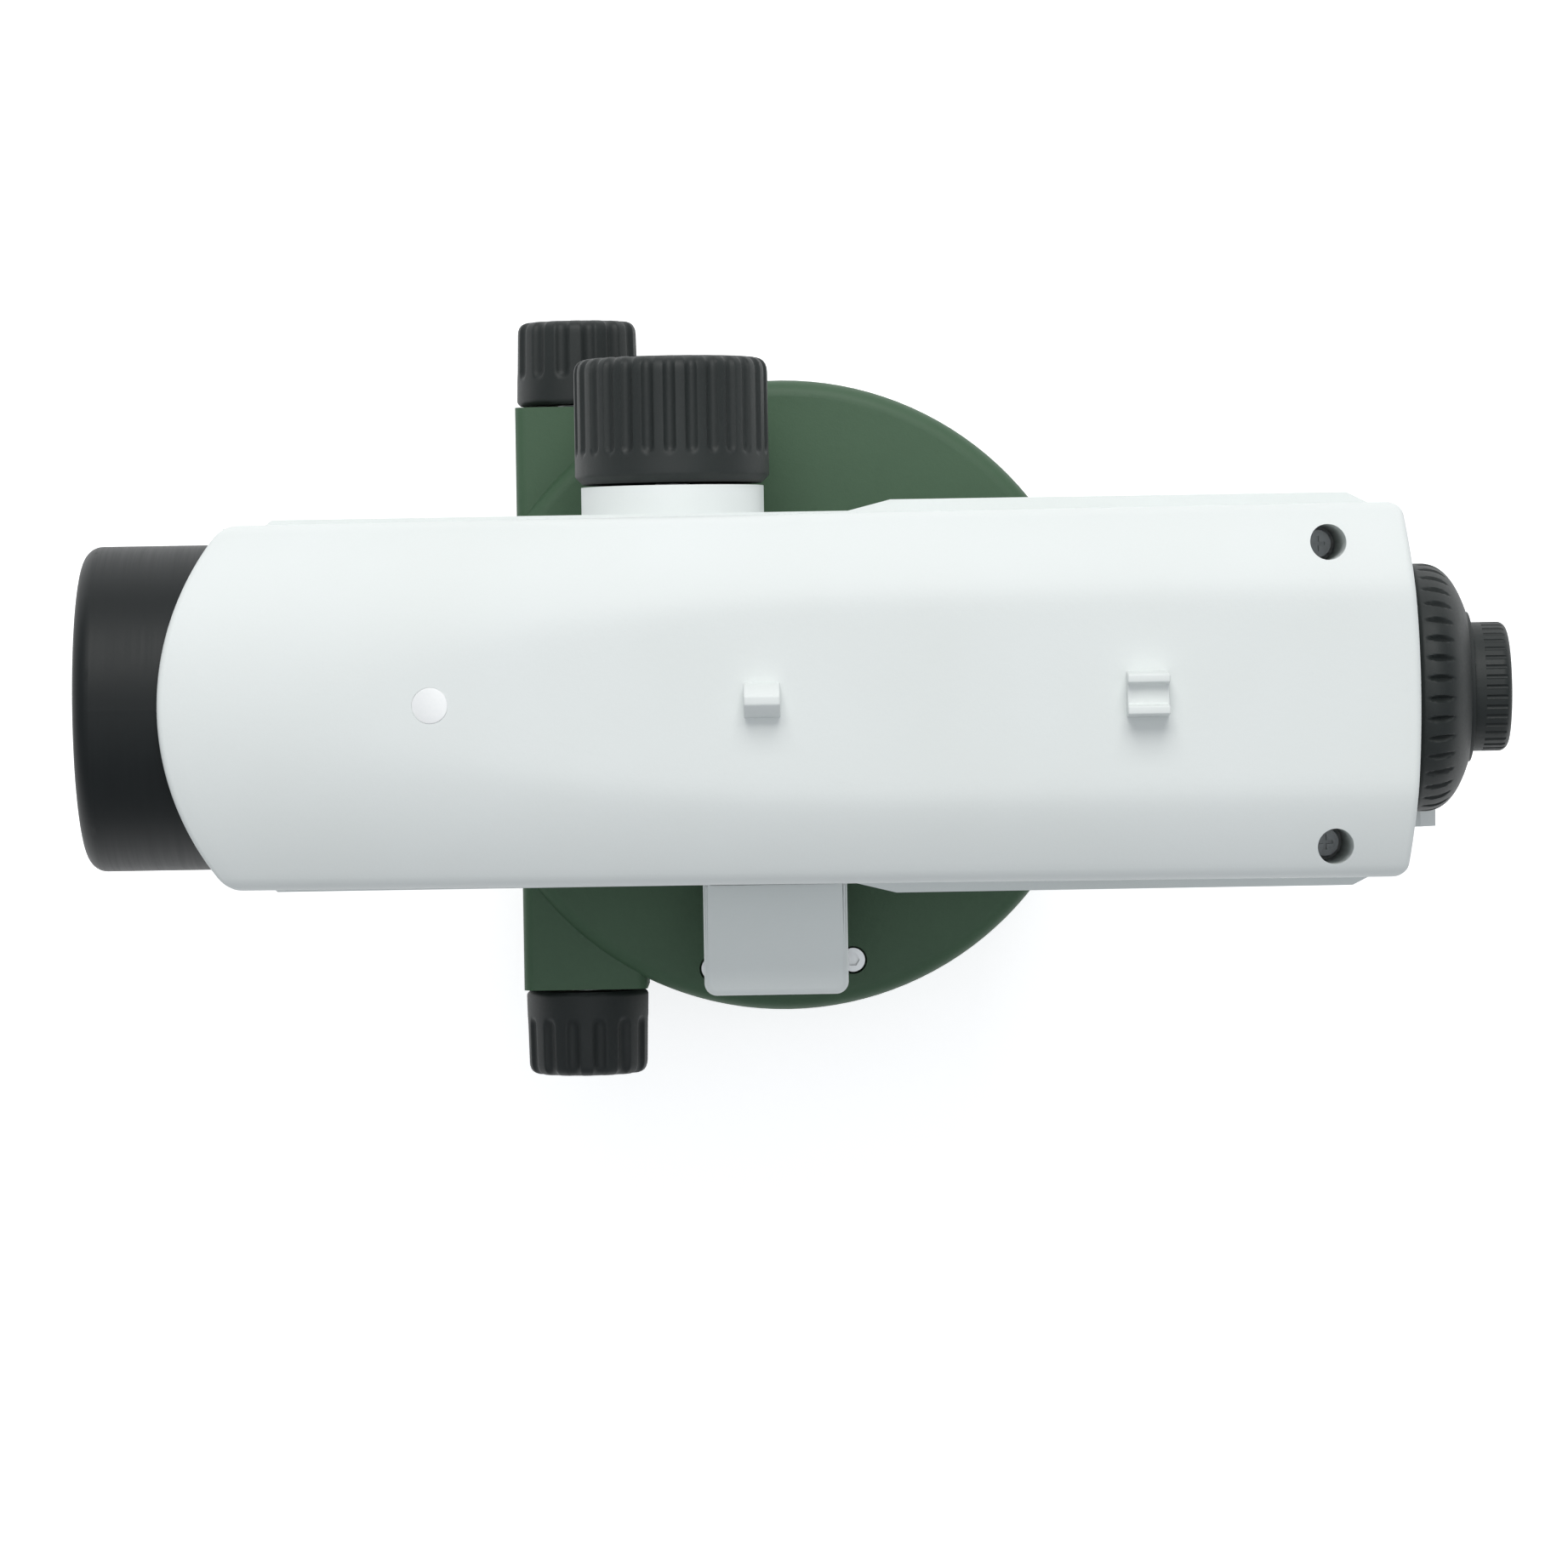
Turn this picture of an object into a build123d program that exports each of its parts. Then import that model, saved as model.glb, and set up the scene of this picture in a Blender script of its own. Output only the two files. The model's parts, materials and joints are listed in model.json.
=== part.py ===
"""Automatic level, in millimetres.

The origin is on the vertical axis at the underside of the base plate. The line of sight lies along X,
with the eyepiece at +X, and the focus knob is on the +Y side.
"""
from build123d import *
import os
from math import asin, cos, degrees, pi, radians, sin, sqrt

# Clearances
RUN = 0.05  # radial, between a shaft and its bush
FIT = 0.05  # radial, between a fixed piece and its seat
AIR = 0.3  # between pieces that pass each other

# Tripod thread and base plate
THREAD_HOLE_R = 6.75
THREAD_BOSS_R = 14.0
THREAD_BOSS_TOP = 10.0
PLATE_R = 48.0
PLATE_THICK = 5.0
SEAT_BOSS_R = 9.0
SEAT_BOSS_TOP = 7.5
SPRING_THICK = 1.0
SPRING_HOLE_R = 17.0
SPRING_SCREW_RING_R = 23.5
SPRING_SCREW_R = 1.5
SPRING_SCREW_HEAD_R = 2.8
SPRING_SCREW_HEAD = 1.6

# Foot screws
FOOT_RING_R = 36.5
FOOT_ANGLES = {"a": -90.0, "b": 30.0, "c": 150.0}
BALL_R = 3.8
BALL_Z = 5.2
BALL_NECK_R = 2.4
FOOT_ROD_R = 3.5
FOOT_THREAD_R = 4.1
FOOT_KNOB_R = 11.5
FOOT_KNOB_LOW = 10.2
FOOT_KNOB_HIGH = 21.5
FOOT_SCALLOPS = 16
FOOT_SCALLOP_R = 2.2
FOOT_SCALLOP_DEPTH = 0.9

# Tribrach
TRIBRACH_LOW = 23.0
TRIBRACH_HIGH = 33.0
TRIBRACH_LOBE_R = 10.0
BUSH_WALL = 2.4
FOOT_ROD_SINK = 1.2
HUB_LOW = 17.0
HUB_R = 14.0
HUB_SHOULDER_R = 18.0
HUB_SHOULDER_TOP = 48.0
SPINDLE_R = 8.0
SPINDLE_BUSH_WALL = 3.0
SPINDLE_NUT_R = 11.0
SPINDLE_NUT_THICK = 2.5
SPINDLE_FLANGE_R = 15.0
SPINDLE_FLANGE = 2.0
SPINDLE_SPIGOT_R = 9.0

# Horizontal circle
CIRCLE_SEAT_R = 26.0
CIRCLE_HUB_R = 30.0
CIRCLE_WEB_LOW = 37.5
CIRCLE_RIM_LOW = 34.0
CIRCLE_RIM_WALL = 2.5
CIRCLE_R = 44.5
CIRCLE_TOP = 41.5

# Base housing and tangent drive
DISC_R = 46.4
DISC_TOP = 62.0
DISC_LOW = 42.5
DISC_ROOF = 4.0
DISC_WALL = 2.2
DISC_EDGE = 2.4
DRIVE_X = -29.9
DRIVE_Z = 52.0
BLOCK_WIDTH = 18.2
BLOCK_HALF_LENGTH = 43.0
BLOCK_TOP = 60.6
BLOCK_EDGE = 1.6
WHEEL_TEETH = 64
WHEEL_MODULE = 0.8
WHEEL_LOW = 49.0
WHEEL_HIGH = 55.0
WORM_THREAD = 20.0
DRIVE_SHAFT_R = 3.0
WORM_BUSH_WALL = 2.0
WORM_BUSH_LENGTH = 6.0
TANGENT_KNOB_R = 9.05
TANGENT_KNOB_TAPER = 0.25
TANGENT_KNOB_START = 43.4
TANGENT_KNOB_END = 55.8
TANGENT_KNOB_SMOOTH = 4.0
TANGENT_KNOB_CORNER = 1.6
TANGENT_KNOB_WALL = 2.2
TANGENT_GROOVES = 14
TANGENT_GROOVE_R = 0.95

# Line of sight and main housing
AXIS_Z = 100.0
PARTING_Z = 98.0
FLOOR_Z = 76.0
TROUGH_LOW = 72.8
TROUGH_CORNER = 9.0
HOUSING_WALL = 2.6
HOUSING_FRONT = -79.0
HOUSING_FRONT_HALF = 25.2
HOUSING_HALF = 26.3
SHOULDER_X = -73.5
SHOULDER_RAMP = 1.5
PANEL_HALF = 27.8
PANEL_START = 9.5
PANEL_END = 83.0
PANEL_RAMP = 3.0
REAR_CORNER_X = 87.0
REAR_CENTRE_X = 89.4
REAR_WALL = 5.0
NECK_LENGTH = 70.0
NECK_WIDTH = 37.0
NECK_FLARE = 7.0
NECK_CORNER = 9.0
NECK_X = 1.5
CHIN_X = 93.0
CHIN_Y = -17.5
CHIN_WIDTH = 5.0
CHIN_LOW = 79.0
CHIN_HIGH = 89.5

# Top cover
COVER_HALF = 25.3
COVER_REAR_HALF = 26.0
COVER_CROWN_Z = 125.0
COVER_ARCH_R = 48.0
COVER_SIDE_CORNER = 3.5
COVER_WALL = 2.2
COVER_TIP_X = -86.1
COVER_CORNER_X = -80.0
PLATEAU_START = -57.0
PLATEAU_FULL = 21.0
PLATEAU_DROP = 2.04
PLATEAU_LEAD = 5.0
REAR_SCREWS = ((75.4, 20.5), (75.8, -21.5))
COUNTERBORE_R = 2.5
SCREW_HEAD_R = 1.95
SCREW_HEAD = 2.0
SCREW_R = 1.45
SCREW_LENGTH = 12.0
SCREW_SEAT_Z = 100.2
POST_R = 4.0
FRONT_SCREW_X = -48.6
FRONT_SCREW_R = 1.15
FRONT_SCREW_HEAD_R = 2.2
FRONT_SCREW_HEAD = 1.3
FRONT_SCREW_SEAT_Z = 121.2
FRONT_SCREW_LENGTH = 3.6
PLUG_THICK = 1.9
FRONT_SIGHT_X = -3.0
FRONT_SIGHT_LENGTH = 5.0
FRONT_SIGHT_WIDTH = 4.5
REAR_SIGHT_X = 50.0
REAR_SIGHT_LENGTH = 5.8
REAR_SIGHT_WIDTH = 6.0
REAR_SIGHT_SLOT = 2.6
SIGHT_TOP_Z = 127.4

# Objective
BARREL_R = 22.9
BARREL_FRONT = -98.1
BARREL_CORNER = 2.5
BARREL_STEP_X = -62.0
BARREL_REAR = -40.0
BARREL_REAR_R = 19.5
HOOD_R = 20.0
LENS_R = 19.0
LENS_RIM = 1.0
LENS_SHOULDER_R = 17.6
LENS_FRONT_EDGE = -89.0
LENS_FRONT_BULGE = 2.6
LENS_JOIN_EDGE = -85.6
LENS_JOIN_BULGE = 2.2
LENS_REAR_EDGE = -79.6
LENS_GAP = 0.15
RETAINER_THICK = 2.2
RETAINER_R = 18.3

# Focusing
TUBE_R = 17.0
TUBE_WALL = 1.95
TUBE_FRONT = -60.0
TUBE_REAR = -8.0
CELL_X = -38.0
CELL_LENGTH = 12.0
CELL_WALL = 3.0
FOCUS_TRAVEL = 10.5
FOCUS_X = -15.5
FOCUS_Z = 84.5
FOCUS_MODULE = 0.5
PINION_TEETH = 12
PINION_Y = 17.8
PINION_WIDTH = 2.6
TOOTH_THICK = 0.65
TOOTH_ADDENDUM = 0.4
TOOTH_DEDENDUM = 0.62
RACK_BACK = 3.0
RACK_REAR = -2.5
SLOT_SIDE = 0.4
FOCUS_SHAFT_R = 2.5
FOCUS_BUSH_WALL = 2.0
FOCUS_BOSS_R = 13.1
FOCUS_BOSS_END = 30.4
FOCUS_KNOB_R = 13.95
FOCUS_KNOB_START = 30.8
FOCUS_KNOB_END = 48.8
FOCUS_KNOB_CHAMFER = 1.1
FOCUS_KNOB_CORNER = 2.2
FOCUS_KNOB_WALL = 2.4
FOCUS_KNOB_SMOOTH = 4.0
FOCUS_GROOVES = 28
FOCUS_GROOVE_R = 0.8

# Compensator
COMP_FRONT = 14.0
COMP_REAR = 56.0
CHEEK_INSIDE = 14.5
CHEEK_THICK = 2.5
COMP_TOP = 113.0
COMP_ROOF = 3.0
PRISM_HALF_WIDTH = 8.0
PRISM_HEIGHT = 16.0
PRISM_LENGTH = 13.0
PRISM_FRONT_X = 19.0
PRISM_REAR_X = 38.0
PRISM_LEAN = 5.0
PENDULUM_PRISM_LENGTH = 15.0
PENDULUM_PRISM_LOW = 84.5
PENDULUM_PRISM_HEIGHT = 8.0
PENDULUM_HALF = 13.0
PENDULUM_FRONT = 18.0
PENDULUM_REAR = 52.0
PENDULUM_THICK = 2.0
VANE_THICK = 1.0
VANE_LENGTH = 12.0
VANE_DROP = 5.0
MAGNET_R = 2.0
MAGNET_THICK = 3.0
TAPE_THICK = 0.2
TAPE_WIDTH = 2.0
TAPE_Y = 10.5
TAPE_TOP_SPREAD = 8.0
TAPE_LOW_SPREAD = 15.0

# Eyepiece end
MOUNT_FRONT = 68.0
MOUNT_R = 12.0
MOUNT_CHAMBER_R = 10.0
MOUNT_CHAMBER_END = 79.5
MOUNT_FLANGE_R = 14.2
MOUNT_FLANGE_START = 89.8
MOUNT_FLANGE_END = 92.0
MOUNT_REAR = 92.3
RETICLE_X = 72.0
RETICLE_CELL = 4.0
RETICLE_R = 6.5
RETICLE_GLASS = 1.6
RETICLE_SCREW_R = 1.0
RETICLE_SCREW_STAND = 1.2
EYE_TUBE_R = 7.6
EYE_TUBE_WALL = 1.3
EYE_TUBE_FRONT = 79.0
EYE_TUBE_REAR = 101.0
EYE_TRAVEL = 1.0
EYE_RING_R = 9.1
EYE_RING_START = 93.6
EYE_RING_END = 101.9
EYE_RING_LIP_R = 5.6
EYE_RING_CORNER = 1.3
EYE_RIBS = 40
DOME_START = 89.7
DOME_R = 17.5
DOME_END = 96.6
DOME_LIP_R = 10.4
DOME_HOLE_R = 9.4
DOME_WALL = 2.9
DOME_SLOTS = 38
DOME_SLOT_WIDTH = 0.9
DOME_SLOT_DISC_R = 3.0
DOME_SLOT_DEPTH = 0.7

# Circular level and its prism box
VIAL_X = -1.0
VIAL_Y = -33.7
VIAL_R = 8.0
VIAL_LOW = 58.2
VIAL_HIGH = 68.5
VIAL_DOME = 1.2
HOLDER_WALL = 1.0
HOLDER_THICK = 2.0
HOLDER_HUB_R = 9.6
HOLDER_LUG_R = 2.1
LEVEL_SCREW_RING_R = 11.9
LEVEL_SCREW_ANGLES = (-27.4, 92.6, 212.6)
LEVEL_SCREW_HEAD_R = 1.75
LEVEL_SCREW_HOLE_R = 2.05
LEVEL_SCREW_SEAT_Z = 59.4
LEVEL_SCREW_HEAD = 2.0
LEVEL_SCREW_R = 0.9
BOX_START = -12.0
BOX_END = 8.6
BOX_IN = -25.9
BOX_OUT = -42.5
BOX_LOW = 71.0
BOX_HIGH = 90.0
BOX_WALL = 1.8
BOX_CORNER = 1.8
PRISM_GLASS = 12.0

# Values worked out from those above
BUSH_R = FOOT_THREAD_R + BUSH_WALL
HUB_BORE_R = SPINDLE_R + RUN + SPINDLE_BUSH_WALL
DISC_ROOF_LOW = DISC_TOP - DISC_ROOF
HUB_TOP = DISC_ROOF_LOW - SPINDLE_FLANGE
DISC_CAVITY_R = DISC_R - DISC_WALL
WHEEL_PITCH_R = WHEEL_TEETH * WHEEL_MODULE / 2
WORM_PITCH_R = -DRIVE_X - WHEEL_PITCH_R
PINION_PITCH_R = PINION_TEETH * FOCUS_MODULE / 2
RACK_LINE_Z = FOCUS_Z + PINION_PITCH_R
TUBE_BORE_R = TUBE_R - TUBE_WALL
CELL_R = TUBE_BORE_R - RUN
HOLDER_LOW = DISC_ROOF_LOW - HOLDER_THICK - 0.2
COVER_INSIDE_Z = COVER_CROWN_Z - COVER_WALL


# Shapes used again and again

def turned(points):
    """A solid turned about Z, from (radius, height) points."""
    outline = Polyline(*[(r, 0, z) for r, z in points], close=True)
    return revolve(make_face(outline), Axis.Z)


def sight_turned(points):
    """A solid turned about the line of sight, from (x, radius) points."""
    outline = Polyline(*[(x, 0, r) for x, r in points], close=True)
    return Pos(0, 0, AXIS_Z) * revolve(make_face(outline), Axis.X)


def cross_turned(points, x, z):
    """A solid turned about a line along Y through (x, z), from (y, radius) points."""
    return Pos(x, 0, z) * Rot(-90, 0, 0) * turned([(r, y) for y, r in points])


def disc(radius, low, high, x=0.0, y=0.0):
    return Pos(x, y, low) * Cylinder(radius, high - low, align=(Align.CENTER, Align.CENTER, Align.MIN))


def sight_disc(radius, start, end):
    return sight_turned([(start, 0), (end, 0), (end, radius), (start, radius)])


def sight_ring(radius, bore, start, end):
    return sight_turned([(start, bore), (end, bore), (end, radius), (start, radius)])


def cross_disc(radius, start, end, x, z):
    return cross_turned([(start, 0), (end, 0), (end, radius), (start, radius)], x, z)


def block(x0, x1, y0, y1, z0, z1):
    size = (x1 - x0, y1 - y0, z1 - z0)
    return Pos((x0 + x1) / 2, (y0 + y1) / 2, (z0 + z1) / 2) * Box(*size)


def widest_edge(edges):
    return edges.sort_by(SortBy.RADIUS)[-1]


def polar(radius, angle, x=0.0, y=0.0):
    return x + radius * cos(radians(angle)), y + radius * sin(radians(angle))


def cap_height(radius, bulge, at):
    """How far a round cap that bulges by bulge over radius stands out at the radius at."""
    sphere = (radius**2 + bulge**2) / (2 * abs(bulge))
    height = abs(bulge) - sphere + sqrt(sphere**2 - at**2)
    return height if bulge > 0 else -height


def lens(radius, x0, bulge0, x1, bulge1):
    """A lens on the line of sight: flat rims at x0 and x1, its faces bulging along +X by bulge0 and bulge1."""
    clear = radius - LENS_RIM
    half = clear / 2
    front = ThreePointArc(
        (x0 + bulge0, 0, 0), (x0 + cap_height(clear, bulge0, half), 0, half), (x0, 0, clear)
    )
    rim = Polyline((x0, 0, clear), (x0, 0, radius), (x1, 0, radius), (x1, 0, clear))
    back = ThreePointArc(
        (x1, 0, clear), (x1 + cap_height(clear, bulge1, half), 0, half), (x1 + bulge1, 0, 0)
    )
    middle = Line((x1 + bulge1, 0, 0), (x0 + bulge0, 0, 0))
    return Pos(0, 0, AXIS_Z) * revolve(make_face([front, rim, back, middle]), Axis.X)


def save(name, shape):
    export_step(shape, f"parts/{name}.step")


# Base plate and spring plate

def rounded_triangle(lobe_radius):
    """The hull of three lobes over the foot screws."""
    lobes = Sketch() + [Pos(*polar(FOOT_RING_R, angle)) * Circle(lobe_radius) for angle in FOOT_ANGLES.values()]
    return make_hull(lobes.edges())


def spring_screw_places():
    return [polar(SPRING_SCREW_RING_R, angle + 60) for angle in FOOT_ANGLES.values()]


def base_plate():
    plate = disc(PLATE_R, 0, PLATE_THICK)
    plate = chamfer(plate.edges().group_by(Axis.Z)[-1], 1.2)
    plate += disc(THREAD_BOSS_R, 0, THREAD_BOSS_TOP)
    for angle in FOOT_ANGLES.values():
        plate += disc(SEAT_BOSS_R, 0, SEAT_BOSS_TOP, *polar(FOOT_RING_R, angle))
    for place in spring_screw_places():
        plate += disc(SPRING_SCREW_HEAD_R + 1, 0, SEAT_BOSS_TOP, *place)
        plate -= disc(SPRING_SCREW_R, PLATE_THICK - 3, SEAT_BOSS_TOP, *place)
    for angle in FOOT_ANGLES.values():
        x, y = polar(FOOT_RING_R, angle)
        plate -= Pos(x, y, BALL_Z) * Sphere(BALL_R + RUN)
        plate -= disc(BALL_R + RUN, BALL_Z, SEAT_BOSS_TOP, x, y)
    return plate - disc(THREAD_HOLE_R, 0, THREAD_BOSS_TOP)


def spring_plate():
    plate = Pos(0, 0, SEAT_BOSS_TOP) * extrude(rounded_triangle(SEAT_BOSS_R - 1), SPRING_THICK)
    top = SEAT_BOSS_TOP + SPRING_THICK
    plate -= disc(SPRING_HOLE_R, SEAT_BOSS_TOP, top)
    ball_here = sqrt(BALL_R**2 - (SEAT_BOSS_TOP - BALL_Z) ** 2)
    for angle in FOOT_ANGLES.values():
        plate -= disc(ball_here + AIR, SEAT_BOSS_TOP, top, *polar(FOOT_RING_R, angle))
    for place in spring_screw_places():
        plate -= disc(SPRING_SCREW_R, SEAT_BOSS_TOP, top, *place)
    return plate


def spring_plate_screws():
    top = SEAT_BOSS_TOP + SPRING_THICK
    screws = Part()
    for x, y in spring_screw_places():
        screw = disc(SPRING_SCREW_R, PLATE_THICK - 2.5, top, x, y)
        head = disc(SPRING_SCREW_HEAD_R, top, top + SPRING_SCREW_HEAD, x, y)
        head -= Pos(x, y, top + SPRING_SCREW_HEAD - 0.35) * Box(2 * SPRING_SCREW_HEAD_R, 0.7, 0.7)
        screws += screw + head
    return screws


# Foot screws

def foot_screw(angle):
    x, y = polar(FOOT_RING_R, angle)
    top = TRIBRACH_HIGH - FOOT_ROD_SINK
    rod = disc(BALL_NECK_R, BALL_Z, FOOT_KNOB_LOW, x, y) + disc(FOOT_ROD_R, FOOT_KNOB_LOW, top, x, y)
    rod = chamfer(rod.edges().group_by(Axis.Z)[-1], 0.6)
    return rod + Pos(x, y, BALL_Z) * Sphere(BALL_R)


def foot_knob(angle):
    x, y = polar(FOOT_RING_R, angle)
    knob = disc(FOOT_KNOB_R, FOOT_KNOB_LOW, FOOT_KNOB_HIGH)
    knob = chamfer(knob.edges().filter_by(GeomType.CIRCLE), 1.0)
    scallop = disc(FOOT_SCALLOP_R, FOOT_KNOB_LOW, FOOT_KNOB_HIGH)
    ring = FOOT_KNOB_R + FOOT_SCALLOP_R - FOOT_SCALLOP_DEPTH
    knob -= [place * scallop for place in PolarLocations(ring, FOOT_SCALLOPS)]
    knob -= disc(FOOT_ROD_R, FOOT_KNOB_LOW, FOOT_KNOB_HIGH)
    return Pos(x, y, 0) * knob


# Tribrach, spindle and horizontal circle

def tribrach():
    body = Pos(0, 0, TRIBRACH_LOW) * extrude(rounded_triangle(TRIBRACH_LOBE_R), TRIBRACH_HIGH - TRIBRACH_LOW)
    body = chamfer(body.edges().group_by(Axis.Z)[0], 1.5)
    body += turned([
        (0, HUB_LOW), (HUB_R, HUB_LOW), (HUB_R + 4, TRIBRACH_LOW), (CIRCLE_SEAT_R - RUN, TRIBRACH_LOW),
        (CIRCLE_SEAT_R - RUN, CIRCLE_TOP), (HUB_SHOULDER_R, CIRCLE_TOP + 1), (HUB_SHOULDER_R, HUB_SHOULDER_TOP),
        (HUB_R, HUB_SHOULDER_TOP), (HUB_R, HUB_TOP), (0, HUB_TOP),
    ])
    for angle in FOOT_ANGLES.values():
        body -= disc(BUSH_R, TRIBRACH_LOW, TRIBRACH_HIGH, *polar(FOOT_RING_R, angle))
    return body - disc(HUB_BORE_R, HUB_LOW, HUB_TOP)


def foot_screw_bushes():
    bushes = Part()
    for angle in FOOT_ANGLES.values():
        place = polar(FOOT_RING_R, angle)
        bushes += disc(BUSH_R, TRIBRACH_LOW, TRIBRACH_HIGH, *place) - disc(
            FOOT_THREAD_R, TRIBRACH_LOW, TRIBRACH_HIGH, *place
        )
    return bushes


def spindle_bush():
    return disc(HUB_BORE_R, HUB_LOW, HUB_TOP) - disc(SPINDLE_R + RUN, HUB_LOW, HUB_TOP)


def vertical_spindle():
    return turned([
        (0, HUB_LOW - SPINDLE_NUT_THICK), (SPINDLE_R - 2, HUB_LOW - SPINDLE_NUT_THICK), (SPINDLE_R - 2, HUB_LOW),
        (SPINDLE_R, HUB_LOW), (SPINDLE_R, HUB_TOP), (SPINDLE_FLANGE_R, HUB_TOP),
        (SPINDLE_FLANGE_R, DISC_ROOF_LOW), (SPINDLE_SPIGOT_R, DISC_ROOF_LOW), (SPINDLE_SPIGOT_R, DISC_TOP),
        (0, DISC_TOP),
    ])


def spindle_nut():
    low = HUB_LOW - SPINDLE_NUT_THICK
    nut = disc(SPINDLE_NUT_R, low, HUB_LOW) - disc(SPINDLE_R - 2, low, HUB_LOW)
    for place in PolarLocations(SPINDLE_NUT_R, 4):
        nut -= place * Pos(0, 0, low + 0.5) * Box(3, 2.5, 1)
    return nut


def horizontal_circle():
    return turned([
        (CIRCLE_SEAT_R, TRIBRACH_HIGH), (CIRCLE_HUB_R, TRIBRACH_HIGH), (CIRCLE_HUB_R, CIRCLE_WEB_LOW),
        (CIRCLE_R - CIRCLE_RIM_WALL, CIRCLE_WEB_LOW), (CIRCLE_R - CIRCLE_RIM_WALL, CIRCLE_RIM_LOW),
        (CIRCLE_R, CIRCLE_RIM_LOW), (CIRCLE_R, CIRCLE_TOP - 0.8), (CIRCLE_R - 0.8, CIRCLE_TOP),
        (CIRCLE_SEAT_R, CIRCLE_TOP),
    ])


# Base housing and tangent drive

def level_screw_places():
    return [polar(LEVEL_SCREW_RING_R, angle, VIAL_X, VIAL_Y) for angle in LEVEL_SCREW_ANGLES]


def housing_screw_places():
    return [polar(SPINDLE_FLANGE_R + 3.6, 45 + 90 * i) for i in range(4)]


def base_housing():
    form = disc(DISC_R, DISC_LOW, DISC_TOP)
    form = fillet(form.edges().group_by(Axis.Z)[-1], DISC_EDGE)
    x0, x1 = DRIVE_X - BLOCK_WIDTH / 2, DRIVE_X + BLOCK_WIDTH / 2
    drive = block(x0, x1, -BLOCK_HALF_LENGTH, BLOCK_HALF_LENGTH, DISC_LOW, BLOCK_TOP)
    drive = fillet(drive.edges().filter_by(Axis.Y), BLOCK_EDGE)
    form += drive
    form -= disc(DISC_CAVITY_R, DISC_LOW, DISC_ROOF_LOW)
    form -= disc(SPINDLE_SPIGOT_R + FIT, DISC_ROOF_LOW, DISC_TOP)
    bush_r = DRIVE_SHAFT_R + RUN + WORM_BUSH_WALL
    form -= cross_disc(DRIVE_SHAFT_R + AIR, -BLOCK_HALF_LENGTH, BLOCK_HALF_LENGTH, DRIVE_X, DRIVE_Z)
    for side in (-1, 1):
        inner = side * (BLOCK_HALF_LENGTH - WORM_BUSH_LENGTH)
        outer = side * BLOCK_HALF_LENGTH
        form -= cross_disc(bush_r, min(inner, outer), max(inner, outer), DRIVE_X, DRIVE_Z)
    form -= disc(VIAL_R + HOLDER_WALL + 2 * AIR, DISC_ROOF_LOW, DISC_TOP, VIAL_X, VIAL_Y)
    for place in level_screw_places():
        form -= disc(LEVEL_SCREW_HOLE_R, LEVEL_SCREW_SEAT_Z, DISC_TOP, *place)
        form -= disc(LEVEL_SCREW_R + FIT, DISC_ROOF_LOW, LEVEL_SCREW_SEAT_Z, *place)
    for place in housing_screw_places():
        form -= disc(SCREW_R + FIT, DISC_ROOF_LOW, DISC_TOP, *place)
    return form


def housing_screws():
    screws = Part()
    for x, y in housing_screw_places():
        screws += disc(SCREW_R, DISC_ROOF_LOW, DISC_TOP + 5, x, y)
        screws += disc(SCREW_HEAD_R + 0.5, DISC_ROOF_LOW - 2, DISC_ROOF_LOW, x, y)
    return screws


def toothed_wheel(pitch_r, teeth, addendum, dedendum, thick, tip_thick, root_thick):
    """A gear outline: each tooth has straight flanks between its root and its tip."""
    points = []
    root_r, tip_r = pitch_r - dedendum, pitch_r + addendum
    for i in range(teeth):
        middle = 2 * pi * i / teeth
        for radius, half in ((root_r, -root_thick), (tip_r, -tip_thick), (tip_r, tip_thick), (root_r, root_thick)):
            angle = middle + half / 2 / radius
            points.append((radius * cos(angle), radius * sin(angle)))
    return make_face(Polyline(*points, close=True))


def worm_wheel():
    m = WHEEL_MODULE
    outline = toothed_wheel(WHEEL_PITCH_R, WHEEL_TEETH, 0.8 * m, 1.1 * m, pi * m / 2, 0.5 * m, 2.1 * m)
    wheel = Pos(0, 0, WHEEL_LOW) * extrude(outline, WHEEL_HIGH - WHEEL_LOW)
    return wheel - disc(HUB_R + RUN, WHEEL_LOW, WHEEL_HIGH)


def friction_spring():
    return disc(HUB_SHOULDER_R - 0.5, HUB_SHOULDER_TOP, WHEEL_LOW) - disc(HUB_R + RUN, HUB_SHOULDER_TOP, WHEEL_LOW)


def tangent_worm():
    root = WORM_PITCH_R - 1.1 * WHEEL_MODULE
    half = WORM_THREAD / 2
    end = TANGENT_KNOB_END - TANGENT_KNOB_WALL
    return cross_turned([
        (-end, 0), (end, 0), (end, DRIVE_SHAFT_R), (half, DRIVE_SHAFT_R), (half, root), (-half, root),
        (-half, DRIVE_SHAFT_R), (-end, DRIVE_SHAFT_R),
    ], DRIVE_X, DRIVE_Z)


def worm_bushes():
    bushes = Part()
    outer_r = DRIVE_SHAFT_R + RUN + WORM_BUSH_WALL
    for side in (-1, 1):
        ends = sorted((side * BLOCK_HALF_LENGTH, side * (BLOCK_HALF_LENGTH - WORM_BUSH_LENGTH)))
        bore = DRIVE_SHAFT_R + RUN
        bushes += cross_turned([
            (ends[0], bore), (ends[1], bore), (ends[1], outer_r), (ends[0], outer_r),
        ], DRIVE_X, DRIVE_Z)
    return bushes


def grooved_knob(profile, corner, grooves, groove_r, ring_r, start, end):
    """A knob turned about Z from its (height, radius) profile, its top edge rounded, with round grooves."""
    knob = turned([(r, h) for h, r in profile])
    knob = fillet(widest_edge(knob.edges().group_by(Axis.Z)[-1]), corner)
    groove = disc(groove_r, start, end) + Pos(0, 0, start) * Sphere(groove_r)
    return knob - [place * groove for place in PolarLocations(ring_r, grooves)]


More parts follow.
